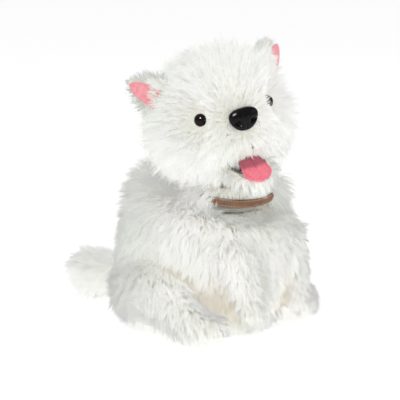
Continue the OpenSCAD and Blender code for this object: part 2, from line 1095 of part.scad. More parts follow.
module head_touch_button() {
    color("tomato")
        head_frame()
            head_button_frame()
                translate([0, 0, 0.3])
                    touch_button();
}

module jaw_pinion() {
    color("ivory")
        head_frame()
            translate([12.5, jaw_pin[1], jaw_pin[2] + jaw_distance])
                rotate([0, -90, 0])
                    pinion(gear_t + 0.6);
}

// --- Jaw, drawn closed in its own frame with the hinge at the origin ---
module jaw_plate() {
    color("dimgray") {
        jaw_frame() {
            difference() {
                union() {
                    translate([12.1, 0, 0])
                        rotate([-rest_open, 0, 0])
                            rotate([0, -90, 0])
                                sector(jaw_teeth, 3);
                    for (x = jaw_arm_x) {
                        translate([x, 0, 0])
                            rotate([0, 90, 0])
                                cylinder(r = 4, h = 4.2);
                        span_box([x, -18, -4.2], [x + 4, -2, 1]);
                    }
                    translate([0, -18, -4.2])
                        linear_extrude(2.4) {
                            translate([-14, -10])
                                square([28, 15]);
                            intersection() {
                                translate([0, -10])
                                    circle(14);
                                translate([-20, -40])
                                    square([40, 32]);
                            }
                        }
                }
                translate([-30, 0, 0])
                    rotate([0, 90, 0])
                        cylinder(r = jaw_pin_r + run, h = 60);
            }
        }
    }
}

module jaw_cover() {
    color("white")
        jaw_frame()
            difference() {
                union() {
                    limb([
                        [-20, -20, -5, 6.5], [-18.5, -30, -5, 7], [-15, -38, -5.5, 7.5], [-8, -44, -6, 8],
                        [0, -46, -6.5, 8.5], [8, -44, -6, 8], [15, -38, -5.5, 7.5], [18.5, -30, -5, 7],
                        [20, -20, -5, 6.5]
                    ]);
                    hull() {
                        translate([0, -36, -11])
                            sphere(r = 9, $fn = 28);
                        translate([0, -42, -9])
                            sphere(r = 9, $fn = 28);
                        translate([0, -24, -9])
                            sphere(r = 7, $fn = 28);
                    }
                }
                span_box([-14.6, -42.6, -4.8], [14.6, 0, 8]);
                span_box([-30, -60, 3.6], [30, 0, 30]);
            }
}

module tongue() {
    color("hotpink")
        jaw_frame()
            translate([0, 0, 4.2])
                linear_extrude(3) {
                    translate([-tongue_w / 2 + 3, -39])
                        square([tongue_w - 6, 13]);
                    translate([0, -39])
                        intersection() {
                            circle(tongue_w / 2);
                            square([tongue_w, tongue_w + 10], center = true);
                        }
                }
}

// --- Tail ---
module tail_rod(r, length) {
    translate([0, tail_rod_y, tail_arm_z])
        rotate([-tail_rod_drop, 0, 0])
            cylinder(r = r, h = length);
}

module tail_lever() {
    color("ivory")
        difference() {
            union() {
                translate([0, tail_pivot_y, tail_gear_z])
                    rotate([0, 0, -90])
                        sector(tail_teeth, 4);
                translate([0, tail_pivot_y, tail_arm_z - 3.8])
                    cylinder(r = 6, h = 12);
                span_box([-3, tail_pivot_y + 2, tail_arm_z - 3], [3, tail_rod_y + 3, tail_arm_z + 3]);
                tail_rod(tail_rod_r, tail_rod_l);
            }
            translate([0, tail_pivot_y, 30])
                cylinder(r = tail_pin_r + run, h = 40);
        }
}

module tail_pinion() {
    color("ivory")
        translate([0, tail_pivot_y - tail_distance, tail_gear_z - 0.3])
            rotate([0, 0, -90])
                pinion(gear_t + 0.6);
}

module tail_cover() {
    color("white")
        difference() {
            limb([
                [0, 106, 42.5, 9], [0, 114, 41, 10.5], [0, 121, 39.5, 13], [0, 128, 37.5, 16],
                [0, 135, 35.5, 18.5], [0, 142, 34, 20.5],
                [0, 149, 32.5, tail_r - 0.5], [0, tail_y - 9, 31.5, tail_r],
                [0, tail_y - 4, 31, tail_r + 0.5], [0, tail_y, 31, tail_r]
            ]);
            tail_rod(tail_rod_r + gap, tail_rod_l + gap);
        }
}

torso_cover();
torso_stuffing();
foreleg_cover_right();
foreleg_cover_left();
hindleg_cover_right();
hindleg_cover_left();
collar_strap();
collar_buckle();
collar_rivets();
base_plate();
base_screws();
housing_front();
housing_rear();
housing_screws();
battery_box();
battery_cells();
battery_contacts();
circuit_board();
board_parts();
speaker_basket();
speaker_cone();
speaker_magnet();
microphone();
switch_housing();
neck_bearing();
turn_motor();
tail_motor();
tail_post();
battery_door();
door_screw();
power_switch_knob();
back_touch_button();
turn_pinion();
neck_yoke();
turn_gear();
tilt_axle();
tilt_motor();
neck_sleeve();
tilt_pinion();
head_cover();
skull_front();
skull_rear();
skull_screws();
tilt_hub();
eyes();
nose();
ear_covers();
ear_linings();
palate_lining();
jaw_motor();
jaw_axle();
head_touch_button();
jaw_pinion();
jaw_plate();
jaw_cover();
tongue();
tail_cover();
tail_lever();
tail_pinion();
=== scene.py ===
import json
import math

import bmesh
import bpy
import numpy as np
from mathutils import Matrix, Vector
from mathutils.bvhtree import BVHTree
from mathutils.kdtree import KDTree


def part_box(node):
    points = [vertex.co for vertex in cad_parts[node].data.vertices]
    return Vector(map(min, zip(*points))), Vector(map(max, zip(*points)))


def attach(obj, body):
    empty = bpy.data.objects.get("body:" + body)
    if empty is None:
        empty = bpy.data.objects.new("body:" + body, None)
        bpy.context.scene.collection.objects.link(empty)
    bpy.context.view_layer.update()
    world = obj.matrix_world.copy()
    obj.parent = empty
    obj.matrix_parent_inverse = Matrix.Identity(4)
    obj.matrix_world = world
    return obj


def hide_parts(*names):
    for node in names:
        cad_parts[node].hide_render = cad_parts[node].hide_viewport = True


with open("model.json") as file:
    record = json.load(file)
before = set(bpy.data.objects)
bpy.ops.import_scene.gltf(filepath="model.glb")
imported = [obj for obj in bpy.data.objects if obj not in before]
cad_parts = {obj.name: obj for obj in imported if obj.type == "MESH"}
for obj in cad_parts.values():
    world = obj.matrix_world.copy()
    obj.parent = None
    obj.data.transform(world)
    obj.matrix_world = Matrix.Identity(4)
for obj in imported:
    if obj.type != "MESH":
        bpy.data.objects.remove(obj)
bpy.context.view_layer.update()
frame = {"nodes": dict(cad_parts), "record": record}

MM = 0.001
JOINTS = {j["name"]: j for j in frame["record"]["behaviour"]["joints"]}


# ---------------------------------------------------------------- frames and small maths

def unit(v):
    """Rows of v at length 1."""
    return v / np.maximum(np.linalg.norm(v, axis=-1, keepdims=True), 1e-12)


def step(lo, hi, x):
    """0 below lo, 1 above hi, smooth between."""
    t = np.clip((x - lo) / (hi - lo), 0, 1)
    return t * t * (3 - 2 * t)


NECK = np.array(JOINTS["head_tilt"]["pos_m"])
HEAD_X = unit(np.array(JOINTS["jaw_open"]["axis"]))
HEAD_Y = unit(np.array(JOINTS["head_tilt"]["axis"]))
HEAD_AXES = np.array([HEAD_X, HEAD_Y, np.cross(HEAD_X, HEAD_Y)])
JAW = np.array(JOINTS["jaw_open"]["pos_m"])


def to_head(p):
    """World points in head coordinates: origin at the neck pivot, -Y out of the nose."""
    return (p - NECK) @ HEAD_AXES.T


def from_head(p):
    """Head coordinates back to world points."""
    return p @ HEAD_AXES + NECK


def node_verts(name):
    """A CAD node's vertices."""
    mesh = frame["nodes"][name].data
    out = np.empty(len(mesh.vertices) * 3)
    mesh.vertices.foreach_get("co", out)
    return out.reshape(-1, 3)


def node_tree(names):
    """A ray-casting tree over several CAD nodes."""
    verts, faces, base = [], [], 0
    for name in names:
        mesh = frame["nodes"][name].data
        verts += [v.co[:] for v in mesh.vertices]
        faces += [[base + i for i in f.vertices] for f in mesh.polygons]
        base = len(verts)
    return BVHTree.FromPolygons(verts, faces)


# ---------------------------------------------------------------- making objects

def new_object(name, verts, faces):
    """A smooth-shaded mesh object made of vertices and faces, linked into the scene."""
    mesh = bpy.data.meshes.new(name)
    mesh.from_pydata([tuple(v) for v in verts], [], [tuple(f) for f in faces])
    mesh.update()
    mesh.polygons.foreach_set("use_smooth", [True] * len(mesh.polygons))
    obj = bpy.data.objects.new(name, mesh)
    bpy.context.scene.collection.objects.link(obj)
    return obj


def place(obj, body, slot, material, *nodes):
    """Rides obj on body, gives it its material, and hides the CAD nodes it stands for; slot is not used."""
    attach(obj, body)
    obj.data.materials.clear()
    obj.data.materials.append(material)
    if nodes:
        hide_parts(*nodes)
    return obj


def apply_modifiers(obj):
    """Replaces an object's mesh with what its modifiers make of it."""
    graph = bpy.context.evaluated_depsgraph_get()
    mesh = bpy.data.meshes.new_from_object(obj.evaluated_get(graph))
    old = obj.data
    obj.modifiers.clear()
    obj.data = mesh
    bpy.data.meshes.remove(old)


def icosphere(subdivisions):
    """Unit vectors spread evenly over a ball, and the triangles between them."""
    bm = bmesh.new()
    bmesh.ops.create_icosphere(bm, subdivisions=subdivisions, radius=1.0)
    verts = np.array([v.co[:] for v in bm.verts])
    faces = np.array([[v.index for v in f.verts] for f in bm.faces])
    bm.free()
    return unit(verts), faces


def neighbour_mean(values, faces, passes):
    """Values at vertices, averaged with their neighbours."""
    a = np.concatenate([faces[:, 0], faces[:, 1], faces[:, 2]])
    b = np.concatenate([faces[:, 1], faces[:, 2], faces[:, 0]])
    ends, starts = np.concatenate([a, b]), np.concatenate([b, a])
    count = np.bincount(ends, minlength=len(values))
    for _ in range(passes):
        if values.ndim == 1:
            total = np.bincount(ends, weights=values[starts], minlength=len(values))
            values = 0.5 * values + 0.5 * total / count
        else:
            columns = [np.bincount(ends, weights=values[starts, k], minlength=len(values)) for k in range(3)]
            values = 0.5 * values + 0.5 * np.stack(columns, 1) / count[:, None]
    return values


def mesh_arrays(obj):
    """Vertices, triangles and smooth vertex normals of an object."""
    mesh = obj.data
    mesh.calc_loop_triangles()
    verts = np.empty(len(mesh.vertices) * 3)
    mesh.vertices.foreach_get("co", verts)
    tris = np.empty(len(mesh.loop_triangles) * 3, dtype=np.int64)
    mesh.loop_triangles.foreach_get("vertices", tris)
    normals = np.empty(len(mesh.vertices) * 3)
    mesh.vertices.foreach_get("normal", normals)
    return verts.reshape(-1, 3), tris.reshape(-1, 3), unit(normals.reshape(-1, 3))


# ---------------------------------------------------------------- materials

class Nodes:
    """A short way to build a node material."""

    def __init__(self, name):
        self.material = bpy.data.materials.new(name)
        self.material.use_nodes = True
        self.tree = self.material.node_tree
        self.shader = self.tree.nodes["Principled BSDF"]

    def add(self, kind, **settings):
        """A new node; settings that begin with in_ are its inputs."""
        node = self.tree.nodes.new(kind)
        for key, value in settings.items():
            if key.startswith("in_"):
                node.inputs[key[3:].replace("_", " ")].default_value = value
            else:
                setattr(node, key, value)
        return node

    def link(self, out, into):
        self.tree.links.new(out, into)

    def set(self, **values):
        """Inputs of the shader."""
        for key, value in values.items():
            self.shader.inputs[key.replace("_", " ")].default_value = value

    def coordinates(self):
        return self.add("ShaderNodeTexCoord").outputs["Object"]

    def noise(self, scale, detail=3.0, vector=None):
        node = self.add("ShaderNodeTexNoise", in_Scale=scale, in_Detail=detail)
        self.link(vector or self.coordinates(), node.inputs["Vector"])
        return node.outputs["Fac"]

    def ramp(self, factor, stops):
        """Colours between stops, each a position and a colour."""
        node = self.add("ShaderNodeValToRGB")
        ramp = node.color_ramp
        while len(ramp.elements) < len(stops):
            ramp.elements.new(0.5)
        for element, (place_at, colour) in zip(ramp.elements, stops):
            element.position = place_at
            element.color = (*colour, 1)
        self.link(factor, node.inputs["Fac"])
        return node.outputs["Color"]

    def mix(self, factor, a, b, mode="MIX"):
        """Two colours mixed; each input is a socket or a value."""
        node = self.add("ShaderNodeMix", data_type="RGBA", blend_type=mode)
        for socket, value in ((node.inputs[0], factor), (node.inputs[6], a), (node.inputs[7], b)):
            if isinstance(value, bpy.types.NodeSocket):
                self.link(value, socket)
            else:
                socket.default_value = value if not isinstance(value, tuple) else (*value, 1)
        return node.outputs[2]

    def bump(self, height, strength, distance):
        node = self.add("ShaderNodeBump", in_Strength=strength, in_Distance=distance)
        self.link(height, node.inputs["Height"])
        self.link(node.outputs["Normal"], self.shader.inputs["Normal"])

    def colour(self, socket):
        self.link(socket, self.shader.inputs["Base Color"])


def fur_material(name, root, middle, tip, tint):
    """Pile with painted shade, creamy and darker, at its roots and in folds, a faint tint in patches, and a
    painted glow that lifts its shade.
    """
    m = Nodes(name)
    along = m.add("ShaderNodeAttribute", attribute_name="along").outputs["Fac"]
    tone = m.add("ShaderNodeAttribute", attribute_name="tone").outputs["Fac"]
    # painted shade: each strand is creamier and darker towards its root, where the pile shades it
    strand = m.ramp(along, [(0.0, root), (0.45, middle), (0.9, tip)])
    # tone: random per lock and strand, with painted shade in the skin's folds; low values run to cream and
    # tan
    tone_and_fold_shade = m.ramp(tone, [
        (0.0, (0.88, 0.82, 0.71)), (0.3, (0.94, 0.91, 0.85)), (0.5, (0.985, 0.98, 0.97)), (1.0, (1, 1, 1))])
    patches = m.ramp(m.noise(22.0, 2.0), [(0.35, tint), (0.6, (1, 1, 1))])
    colour = m.mix(1.0, m.mix(1.0, strand, tone_and_fold_shade, "MULTIPLY"), patches, "MULTIPLY")
    m.colour(colour)
    # painted glow: the fur's colour also glows faintly, lifting its shade as light scattered through white
    # pile would
    m.link(colour, m.shader.inputs["Emission Color"])
    m.set(Roughness=0.9, Emission_Strength=0.27)
    m.shader.inputs["Specular IOR Level"].default_value = 0.1
    return m.material


def cloth_material(name, dark, light, scale):
    """Knitted or felted cloth: mottled colour with a fine nap."""
    m = Nodes(name)
    m.colour(m.ramp(m.noise(scale * 0.25, 4.0), [(0.3, dark), (0.7, light)]))
    m.bump(m.noise(scale, 4.0), 0.3, 0.0006)
    m.set(Roughness=0.9, Sheen_Weight=0.3, Sheen_Roughness=0.6)
    return m.material


def tongue_material(dark, light, mouth_shade):
    """Pink felt, with painted shade, dark red, where it goes into the mouth."""
    m = Nodes("tongue_felt")
    along = m.add("ShaderNodeAttribute", attribute_name="along").outputs["Fac"]
    felt = m.ramp(m.noise(350.0, 4.0), [(0.3, dark), (0.7, light)])
    # painted shade: the felt turns dark red towards the back of the tongue, in the mouth's shadow
    m.colour(m.mix(m.ramp(along, [(0.0, (0, 0, 0)), (1.0, (1, 1, 1))]), felt, mouth_shade))
    m.bump(m.noise(1400.0, 4.0), 0.3, 0.0006)
    m.set(Roughness=0.9, Sheen_Weight=0.3, Sheen_Roughness=0.6)
    return m.material


def plastic_material(name, colour, roughness, grain, metal):
    """Moulded plastic or metal with a fine grain."""
    m = Nodes(name)
    darker = tuple(c * 0.9 for c in colour)
    m.colour(m.ramp(m.noise(60.0, 3.0), [(0.3, darker), (0.7, tuple(colour))]))
    m.bump(m.noise(grain, 2.0), 0.08, 0.0002)
    m.set(Roughness=roughness, Metallic=metal)
    return m.material


def leather_material(name, dark, light):
    """Worn leather with a pebbled surface."""
    m = Nodes(name)
    cells = m.add("ShaderNodeTexVoronoi", in_Scale=700.0)
    m.link(m.coordinates(), cells.inputs["Vector"])
    wear = m.noise(120.0, 5.0)
    m.colour(m.ramp(wear, [(0.25, dark), (0.75, light)]))
    m.bump(cells.outputs["Distance"], 0.35, 0.0004)
    m.set(Roughness=0.5)
    return m.material


# root is painted shade, creamier and darker than middle and tip, for the shade deep in the pile
FUR = fur_material(
    "white_fur", root=(0.92, 0.90, 0.84), middle=(0.955, 0.95, 0.93), tip=(0.965, 0.97, 0.96),
    tint=(0.955, 0.98, 0.945))
# painted shade: the backing's cream, darker than the fur, stands for the shade down among the roots
BACKING = cloth_material("fur_backing", (0.84, 0.80, 0.70), (0.91, 0.88, 0.80), 500.0)
PINK_PLUSH = cloth_material("pink_plush", (0.84, 0.22, 0.27), (0.93, 0.38, 0.42), 900.0)
# the third colour is painted shade: dark red where the tongue goes into the mouth
TONGUE_FELT = tongue_material((0.90, 0.11, 0.18), (0.98, 0.19, 0.27), (0.42, 0.015, 0.06))
MOUTH_CLOTH = cloth_material("mouth_cloth", (0.012, 0.004, 0.004), (0.05, 0.012, 0.014), 1100.0)
LEATHER = leather_material("collar_leather", (0.16, 0.065, 0.03), (0.30, 0.14, 0.07))
THREAD = cloth_material("collar_thread", (0.42, 0.27, 0.15), (0.60, 0.42, 0.26), 2500.0)


# ---------------------------------------------------------------- fur

RING_AT = np.array([0.0, 0.50, 1.0])     # where along a strand its rings of vertices are
RING_WIDTH = np.array([1.0, 0.8, 0.0])   # and how wide it is there
LOCK_SWING = 0.32                        # radians that whole locks turn from the comb
LOCK_PULL = 0.42                         # how far a strand's tip leans to the middle of its lock
LOCK_REACH = 0.006                       # metres over which a lock gathers its strands
SHORTEST = 0.0015                        # shorter strands are left out
LOWEST = 0.0006                          # no fur reaches below this height
SKIN_SHADING = 0.85                      # how much a strand is shaded like the skin under it
FOLD_PASSES = 40                         # how widely the skin is averaged to find its folds
FOLD_START, FOLD_FULL = 0.0001, 0.0022   # depth below that average, in metres
FOLD_SHORTER, FOLD_SHADE = 0.42, 0.75   # what a full fold takes off the length, and the painted shade it puts on the tone


def sample_surface(verts, tris, normals, hollow, count, rng):
    """Random points spread evenly over a surface, with smooth normals and how hollow it is there."""
    a, b, c = (verts[tris[:, k]] for k in range(3))
    area = np.linalg.norm(np.cross(b - a, c - a), axis=1)
    pick = np.searchsorted(np.cumsum(area) / area.sum(), rng.random(count))
    pick = np.minimum(pick, len(tris) - 1)
    u, v = rng.random(count), rng.random(count)
    flip = u + v > 1
    u[flip], v[flip] = 1 - u[flip], 1 - v[flip]
    w = np.stack([1 - u - v, u, v], 1)[:, :, None]
    points = (verts[tris[pick]] * w).sum(1)
    return points, unit((normals[tris[pick]] * w).sum(1)), (hollow[tris[pick]] * w[:, :, 0]).sum(1)


def strands(points, normals, length, comb, lean, clump, width, rng, droop):
    """Strands gathered into locks. Returns the points along each strand, its tone and its thickness."""
    n = len(points)
    comb = unit(comb - normals * (comb * normals).sum(1, keepdims=True))
    side = np.cross(normals, comb)
    centres = rng.permutation(n)[:max(1, n // clump)]
    tree = KDTree(len(centres))
    for k, i in enumerate(centres):
        tree.insert(points[i], k)
    tree.balance()
    lock = np.array([tree.find(p)[1] for p in points])
    lock_swing = rng.normal(0, LOCK_SWING, len(centres))[lock]
    lock_lean = rng.normal(0, 7, len(centres))[lock]
    lock_long = rng.normal(1, 0.13, len(centres))[lock]
    lock_tone = rng.random(len(centres))[lock]
    swing = lock_swing + rng.normal(0, 0.14, n)
    way = comb * np.cos(swing)[:, None] + side * np.sin(swing)[:, None]
    first = np.radians(np.clip(lean * 0.55 + lock_lean + rng.normal(0, 6, n), 2, 80))[:, None]
    last = np.radians(np.clip(lean * 1.25 + lock_lean + rng.normal(0, 9, n), 5, 105))[:, None]
    start = normals * np.cos(first) + way * np.sin(first)
    end = normals * np.cos(last) + way * np.sin(last)
    end = unit(end + np.array([0, 0, -droop]))
    reach = (length * lock_long * rng.uniform(0.82, 1.08, n))[:, None]
    t = RING_AT[None, :, None]
    line = points[:, None] + reach[:, None] * (start[:, None] * t + (end - start)[:, None] * t * t / 2)
    middle = line[centres][lock]
    pull = LOCK_PULL * t ** 1.5
    apart = np.linalg.norm(points - points[centres][lock], axis=1)
    line = line + (middle - line) * pull * np.exp(-(apart / LOCK_REACH) ** 2)[:, None, None]
    line += rng.normal(0, 0.0007, line.shape) * t
    tone = np.clip(0.65 * lock_tone + 0.35 * rng.random(n), 0, 1)
    thick = width * rng.uniform(0.75, 1.2, n) * np.clip(length / 0.018, 0.5, 1.0)
    return line, tone, thick


def build_fur(name, line, tone, thick, normals):
    """A mesh of closed, three-sided, tapering strands along the given lines.
    Each strand has its own cell in the texture map."""
    n, rings = len(line), len(RING_AT)
    tangent = unit(line[:, -1] - line[:, 0])
    across = unit(np.cross(tangent, normals) + 1e-6)
    other = np.cross(tangent, across)
    angle = np.arange(3) * 2 * math.pi / 3 + math.pi / 2
    spoke = across[:, None] * np.cos(angle)[None, :, None] + other[:, None] * np.sin(angle)[None, :, None]
    size = (0.5 * thick[:, None] * RING_WIDTH[None, :-1])[:, :, None, None]
    body = line[:, :-1, None] + spoke[:, None] * size
    verts = np.concatenate([body.reshape(n, -1, 3), line[:, -1:]], 1)
    per = verts.shape[1]
    soft = np.concatenate([np.repeat(spoke[:, None], rings - 1, 1).reshape(n, -1, 3), tangent[:, None]], 1)
    shading = unit(SKIN_SHADING * normals[:, None] + (1 - SKIN_SHADING) * soft)
    quads, cap = [], [2, 1, 0]
    for ring in range(rings - 2):
        for k in range(3):
            j = (k + 1) % 3
            quads.append([3 * ring + k, 3 * ring + j, 3 * ring + 3 + j, 3 * ring + 3 + k])
    last = 3 * (rings - 2)
    tips = [[last + k, last + (k + 1) % 3, per - 1] for k in range(3)]
    pattern = np.array([i for f in quads + tips + [cap] for i in f])
    totals = np.array([len(f) for f in quads + tips + [cap]])
    loops = (pattern[None] + per * np.arange(n)[:, None]).ravel()
    starts = np.concatenate([[0], np.cumsum(np.tile(totals, n))[:-1]])
    mesh = bpy.data.meshes.new(name)
    mesh.vertices.add(n * per)
    mesh.vertices.foreach_set("co", verts.ravel())
    mesh.loops.add(len(loops))
    mesh.loops.foreach_set("vertex_index", loops)
    mesh.polygons.add(len(starts))
    mesh.polygons.foreach_set("loop_start", starts)
    mesh.polygons.foreach_set("use_smooth", np.ones(len(starts), dtype=bool))
    mesh.update(calc_edges=True)
    along = np.concatenate([np.repeat(RING_AT[:-1], 3), [1.0]])
    mesh.attributes.new("along", "FLOAT", "POINT").data.foreach_set("value", np.tile(along, n))
    # tone holds each strand's random tone, with the painted shade of the skin's folds multiplied in
    mesh.attributes.new("tone", "FLOAT", "POINT").data.foreach_set("value", np.repeat(tone, per))
    cells = math.ceil(math.sqrt(n))
    corner = np.stack([np.arange(n) % cells, np.arange(n) // cells], 1)[:, None] / cells
    offset = np.concatenate([
        np.stack([0.15 + 0.7 * np.repeat(RING_AT[:-1], 3), np.tile([0.15, 0.5, 0.85], rings - 1)], 1),
        [[0.85, 0.5]]]) / cells
    uv = (corner + offset[None]).reshape(-1, 2)[loops]
    mesh.uv_layers.new(name="OFBake").data.foreach_set("uv", uv.ravel())
    mesh.normals_split_custom_set_from_vertices(shading.reshape(-1, 3))
    obj = bpy.data.objects.new(name, mesh)
    bpy.context.scene.collection.objects.link(obj)
    return obj


def grow(name, skin, density, length, comb, lean, seed, body, clump=8, width=0.0008,
         parts=None, part_names=None, droop=0.35, folded=False):
    """Covers a skin object with fur. length, comb and lean are functions of points and normals.
    density is strands per square millimetre, and clump is strands to a lock.
    parts splits the fur into several pieces. If folded, it is shorter in the skin's folds, and its tone
    there carries painted shade, creamier and darker."""
    rng = np.random.default_rng(seed)
    verts, tris, normals = mesh_arrays(skin)
    a, b, c = (verts[tris[:, k]] for k in range(3))
    area = np.linalg.norm(np.cross(b - a, c - a), axis=1).sum() / 2 / MM / MM
    hollow = ((neighbour_mean(verts, tris, FOLD_PASSES) - verts) * normals).sum(1)
    points, normal, hollow = sample_surface(verts, tris, normals, hollow, int(area * density), rng)
    fold = step(FOLD_START, FOLD_FULL, hollow) if folded else np.zeros(len(points))
    long = length(points, normal) * (1 - FOLD_SHORTER * fold)
    keep = long > SHORTEST
    points, normal, long, fold = points[keep], normal[keep], long[keep], fold[keep]
    line, tone, thick = strands(
        points, normal, long, comb(points, normal), lean(points, normal), clump, width, rng, droop)
    # painted shade: the tone is darkened in the skin's folds, where shade falls
    tone = (0.35 + 0.65 * tone) * (1 - FOLD_SHADE * fold)
    line[:, :, 2] = np.maximum(line[:, :, 2], LOWEST)
    labels = parts(points) if parts else np.zeros(len(points), dtype=int)
    for k in range(labels.max() + 1):
        choose = labels == k
        if not choose.any():
            continue
        piece_name = part_names[k] if parts else name
        piece = build_fur(piece_name, line[choose], tone[choose], thick[choose], normal[choose])
        place(piece, body, "white_fur", FUR)


# ---------------------------------------------------------------- skins under the fur

def star_shape(nodes, centre, subdivisions, smooth=3):
    """The outer surface of some CAD nodes seen from a centre, as vertices and triangles."""
    rays, faces = icosphere(subdivisions)
    tree = node_tree(nodes)
    radius = np.empty(len(rays))
    for i, ray in enumerate(rays):
        hit = tree.ray_cast(Vector(centre + ray), Vector(-ray))
        radius[i] = (Vector(hit[0]) - Vector(centre)).length if hit[0] else 0.02
    radius = neighbour_mean(radius, faces, smooth)
    return centre + rays * radius[:, None], faces


def node_shape(name):
    """A CAD node's vertices and faces."""
    return node_verts(name), [list(f.vertices) for f in frame["nodes"][name].data.polygons]


def set_verts(obj, verts):
    """Moves an object's vertices and shades it smooth."""
    obj.data.vertices.foreach_set("co", verts.ravel())
    obj.data.polygons.foreach_set("use_smooth", [True] * len(obj.data.polygons))
    obj.data.update()


def soft_skin(name, shapes, inset, voxel, low=0.0015):
    """One even skin round several overlapping closed shapes, shrunk by inset and smoothed.
    inset may be a number or a function of the vertices. No vertex is lower than low."""
    verts, faces = np.concatenate([v for v, _ in shapes]), []
    base = 0
    for shape_verts, shape_faces in shapes:
        faces += [[base + int(i) for i in f] for f in shape_faces]
        base += len(shape_verts)
    obj = new_object(name, verts, faces)
    remesh = obj.modifiers.new("even", "REMESH")
    remesh.mode, remesh.voxel_size = "VOXEL", voxel
    apply_modifiers(obj)
    verts, tris, _ = mesh_arrays(obj)
    set_verts(obj, neighbour_mean(verts, tris, 4))
    verts, tris, normals = mesh_arrays(obj)
    depth = inset(verts)[:, None] if callable(inset) else inset
    verts = neighbour_mean(verts - normals * depth, tris, 6)
    verts[:, 2] = np.maximum(verts[:, 2], low)
    set_verts(obj, verts)
    return obj


def puff(obj, cap, frames=14):
    """Fills a closed cloth skin from inside, as stuffing does; no point moves further than cap."""
    start, tris, _ = mesh_arrays(obj)
    cloth = obj.modifiers.new("cloth", "CLOTH")
    cloth.settings.quality = 4
    cloth.settings.use_pressure = True
    cloth.settings.uniform_pressure_force = 4.0
    cloth.settings.effector_weights.gravity = 0.0
    cloth.point_cache.frame_end = frames
    for number in range(1, frames + 1):
        bpy.context.scene.frame_set(number)
    apply_modifiers(obj)
    bpy.context.scene.frame_set(1)
    end, _, _ = mesh_arrays(obj)
    move = end - start
    far = np.linalg.norm(move, axis=1, keepdims=True)
    move = neighbour_mean(move * np.minimum(1, cap / np.maximum(far, 1e-9)), tris, 3)
    set_verts(obj, start + move)


def limb_skin(name, node, inset, body, voxel):
    """A soft skin that stands for one CAD node."""
    return place(soft_skin(name, [node_shape(node)], inset, voxel), body, "white_fur", BACKING, node)


def constant(value):
    """A length or lean that is the same everywhere."""
    return lambda p, n: np.full(len(p), value)


def down(p, n):
    """Fur that hangs straight down."""
    return np.tile([0.0, 0.0, -1.0], (len(p), 1))


# ---------------------------------------------------------------- torso

torso_lo, torso_hi = (np.array(c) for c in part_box("torso_cover"))
torso_mid = (torso_lo + torso_hi) / 2
LIMBS = ["foreleg_cover_right", "foreleg_cover_left", "hindleg_cover_right", "hindleg_cover_left"]
rump = star_shape(["torso_cover", "base_plate", "neck_sleeve", "housing_rear"], torso_mid - [0, 0, 0.005], 5)
body_skin = soft_skin("body_skin", [rump] + [node_shape(n) for n in LIMBS], 0.009, 0.003, low=0.0034)
puff(body_skin, 0.002)
place(body_skin, "torso", "white_fur", BACKING, "torso_cover", "torso_stuffing", *LIMBS)
limb_trees = [node_tree([n]) for n in LIMBS]
COLLAR_MID = np.array([(a + b) / 2 for a, b in zip(*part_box("collar_strap"))])


def limb_of(p):
    """0 to 3 for points within a leg's cover, in the order of LIMBS, and 4 for the torso."""
    label = np.full(len(p), 4)
    for i, point in enumerate(p):
        for k, tree in enumerate(limb_trees):
            spot, normal, _, _ = tree.find_nearest(Vector(point), 0.03)
            if spot is not None and (Vector(point) - spot).dot(normal) < 0:
                label[i] = k
                break
    return label


def body_length(p, n):
    """Longest on the shoulders, shorter on the legs and paws, none underneath or inside the collar."""
    under = step(0.004, 0.016, p[:, 2]) * (1 - 0.75 * step(-0.10, 0.15, -n[:, 2] - 0.75))
    ring = np.linalg.norm((p - COLLAR_MID)[:, :2], axis=1)
    shoulder = step(0.11, 0.15, p[:, 2]) * step(-0.03, 0.02, p[:, 1])
    high = step(0.11, 0.13, p[:, 2])
    long = 0.025 + 0.010 * shoulder
    long = long * (1 - high * (1 - step(0.036, 0.050, ring)))
    label = limb_of(p)
    fore = 0.010 + 0.008 * step(0.02, 0.07, p[:, 2])
    hind = 0.011 + 0.009 * step(torso_lo[1], torso_lo[1] + 0.05, p[:, 1])
    return np.where(label < 2, fore, np.where(label < 4, hind, long)) * under


def body_comb(p, n):
    """Down the body, towards the collar close to it, and along the thighs on the hind legs."""
    label = limb_of(p)[:, None]
    flat = (p - COLLAR_MID) * np.array([1, 1, 0])
    turn = 2 * step(0.050, 0.062, np.linalg.norm(flat, axis=1)) - 1
    out = unit(flat) * (turn * step(0.12, 0.14, p[:, 2]))[:, None]
    back = 0.25 * step(-0.04, 0.06, p[:, 1] - torso_mid[1])
    body = np.stack([3.0 * p[:, 0], back, np.full(len(p), -1.0)], 1) + out
    hind = np.stack([1.5 * p[:, 0], np.full(len(p), -0.6), np.full(len(p), -0.8)], 1)
    return np.where(label < 2, down(p, n), np.where(label < 4, hind, body))


def body_lean(p, n):
    """Fur lies on the body and stands up on the shoulders."""
    return 50.0 - 22.0 * step(0.11, 0.15, p[:, 2]) * step(-0.03, 0.02, p[:, 1])


def quarters(p):
    """0 to 3: right front, left front, right rear, left rear."""
    return (p[:, 0] > 0).astype(int) + 2 * (p[:, 1] > 0).astype(int)


def body_parts(p):
    """The legs first, then the quarters of the torso."""
    label = limb_of(p)
    return np.where(label < 4, label, 4 + quarters(p))


BODY_FURS = [n.replace("cover", "fur") for n in LIMBS] + [f"torso_fur_{k}" for k in range(1, 5)]
grow("body_fur", body_skin, 1.0, body_length, body_comb, body_lean, 11, "torso",
     parts=body_parts, part_names=BODY_FURS, folded=True)

# ---------------------------------------------------------------- tail

tail_lo, tail_hi = (np.array(c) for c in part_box("tail_cover"))
tail_mid = np.array([0, tail_hi[1] - 0.022, (tail_lo[2] + tail_hi[2]) / 2])


def along_tail(p):
    """0 at the root of the tail, 1 in its bushy end."""
    return step(tail_lo[1] + 0.008, tail_mid[1] - 0.008, p[:, 1])


def tail_length(p, n):
    """Shorter on the root, longer in the bushy end."""
    return 0.012 + 0.008 * along_tail(p)


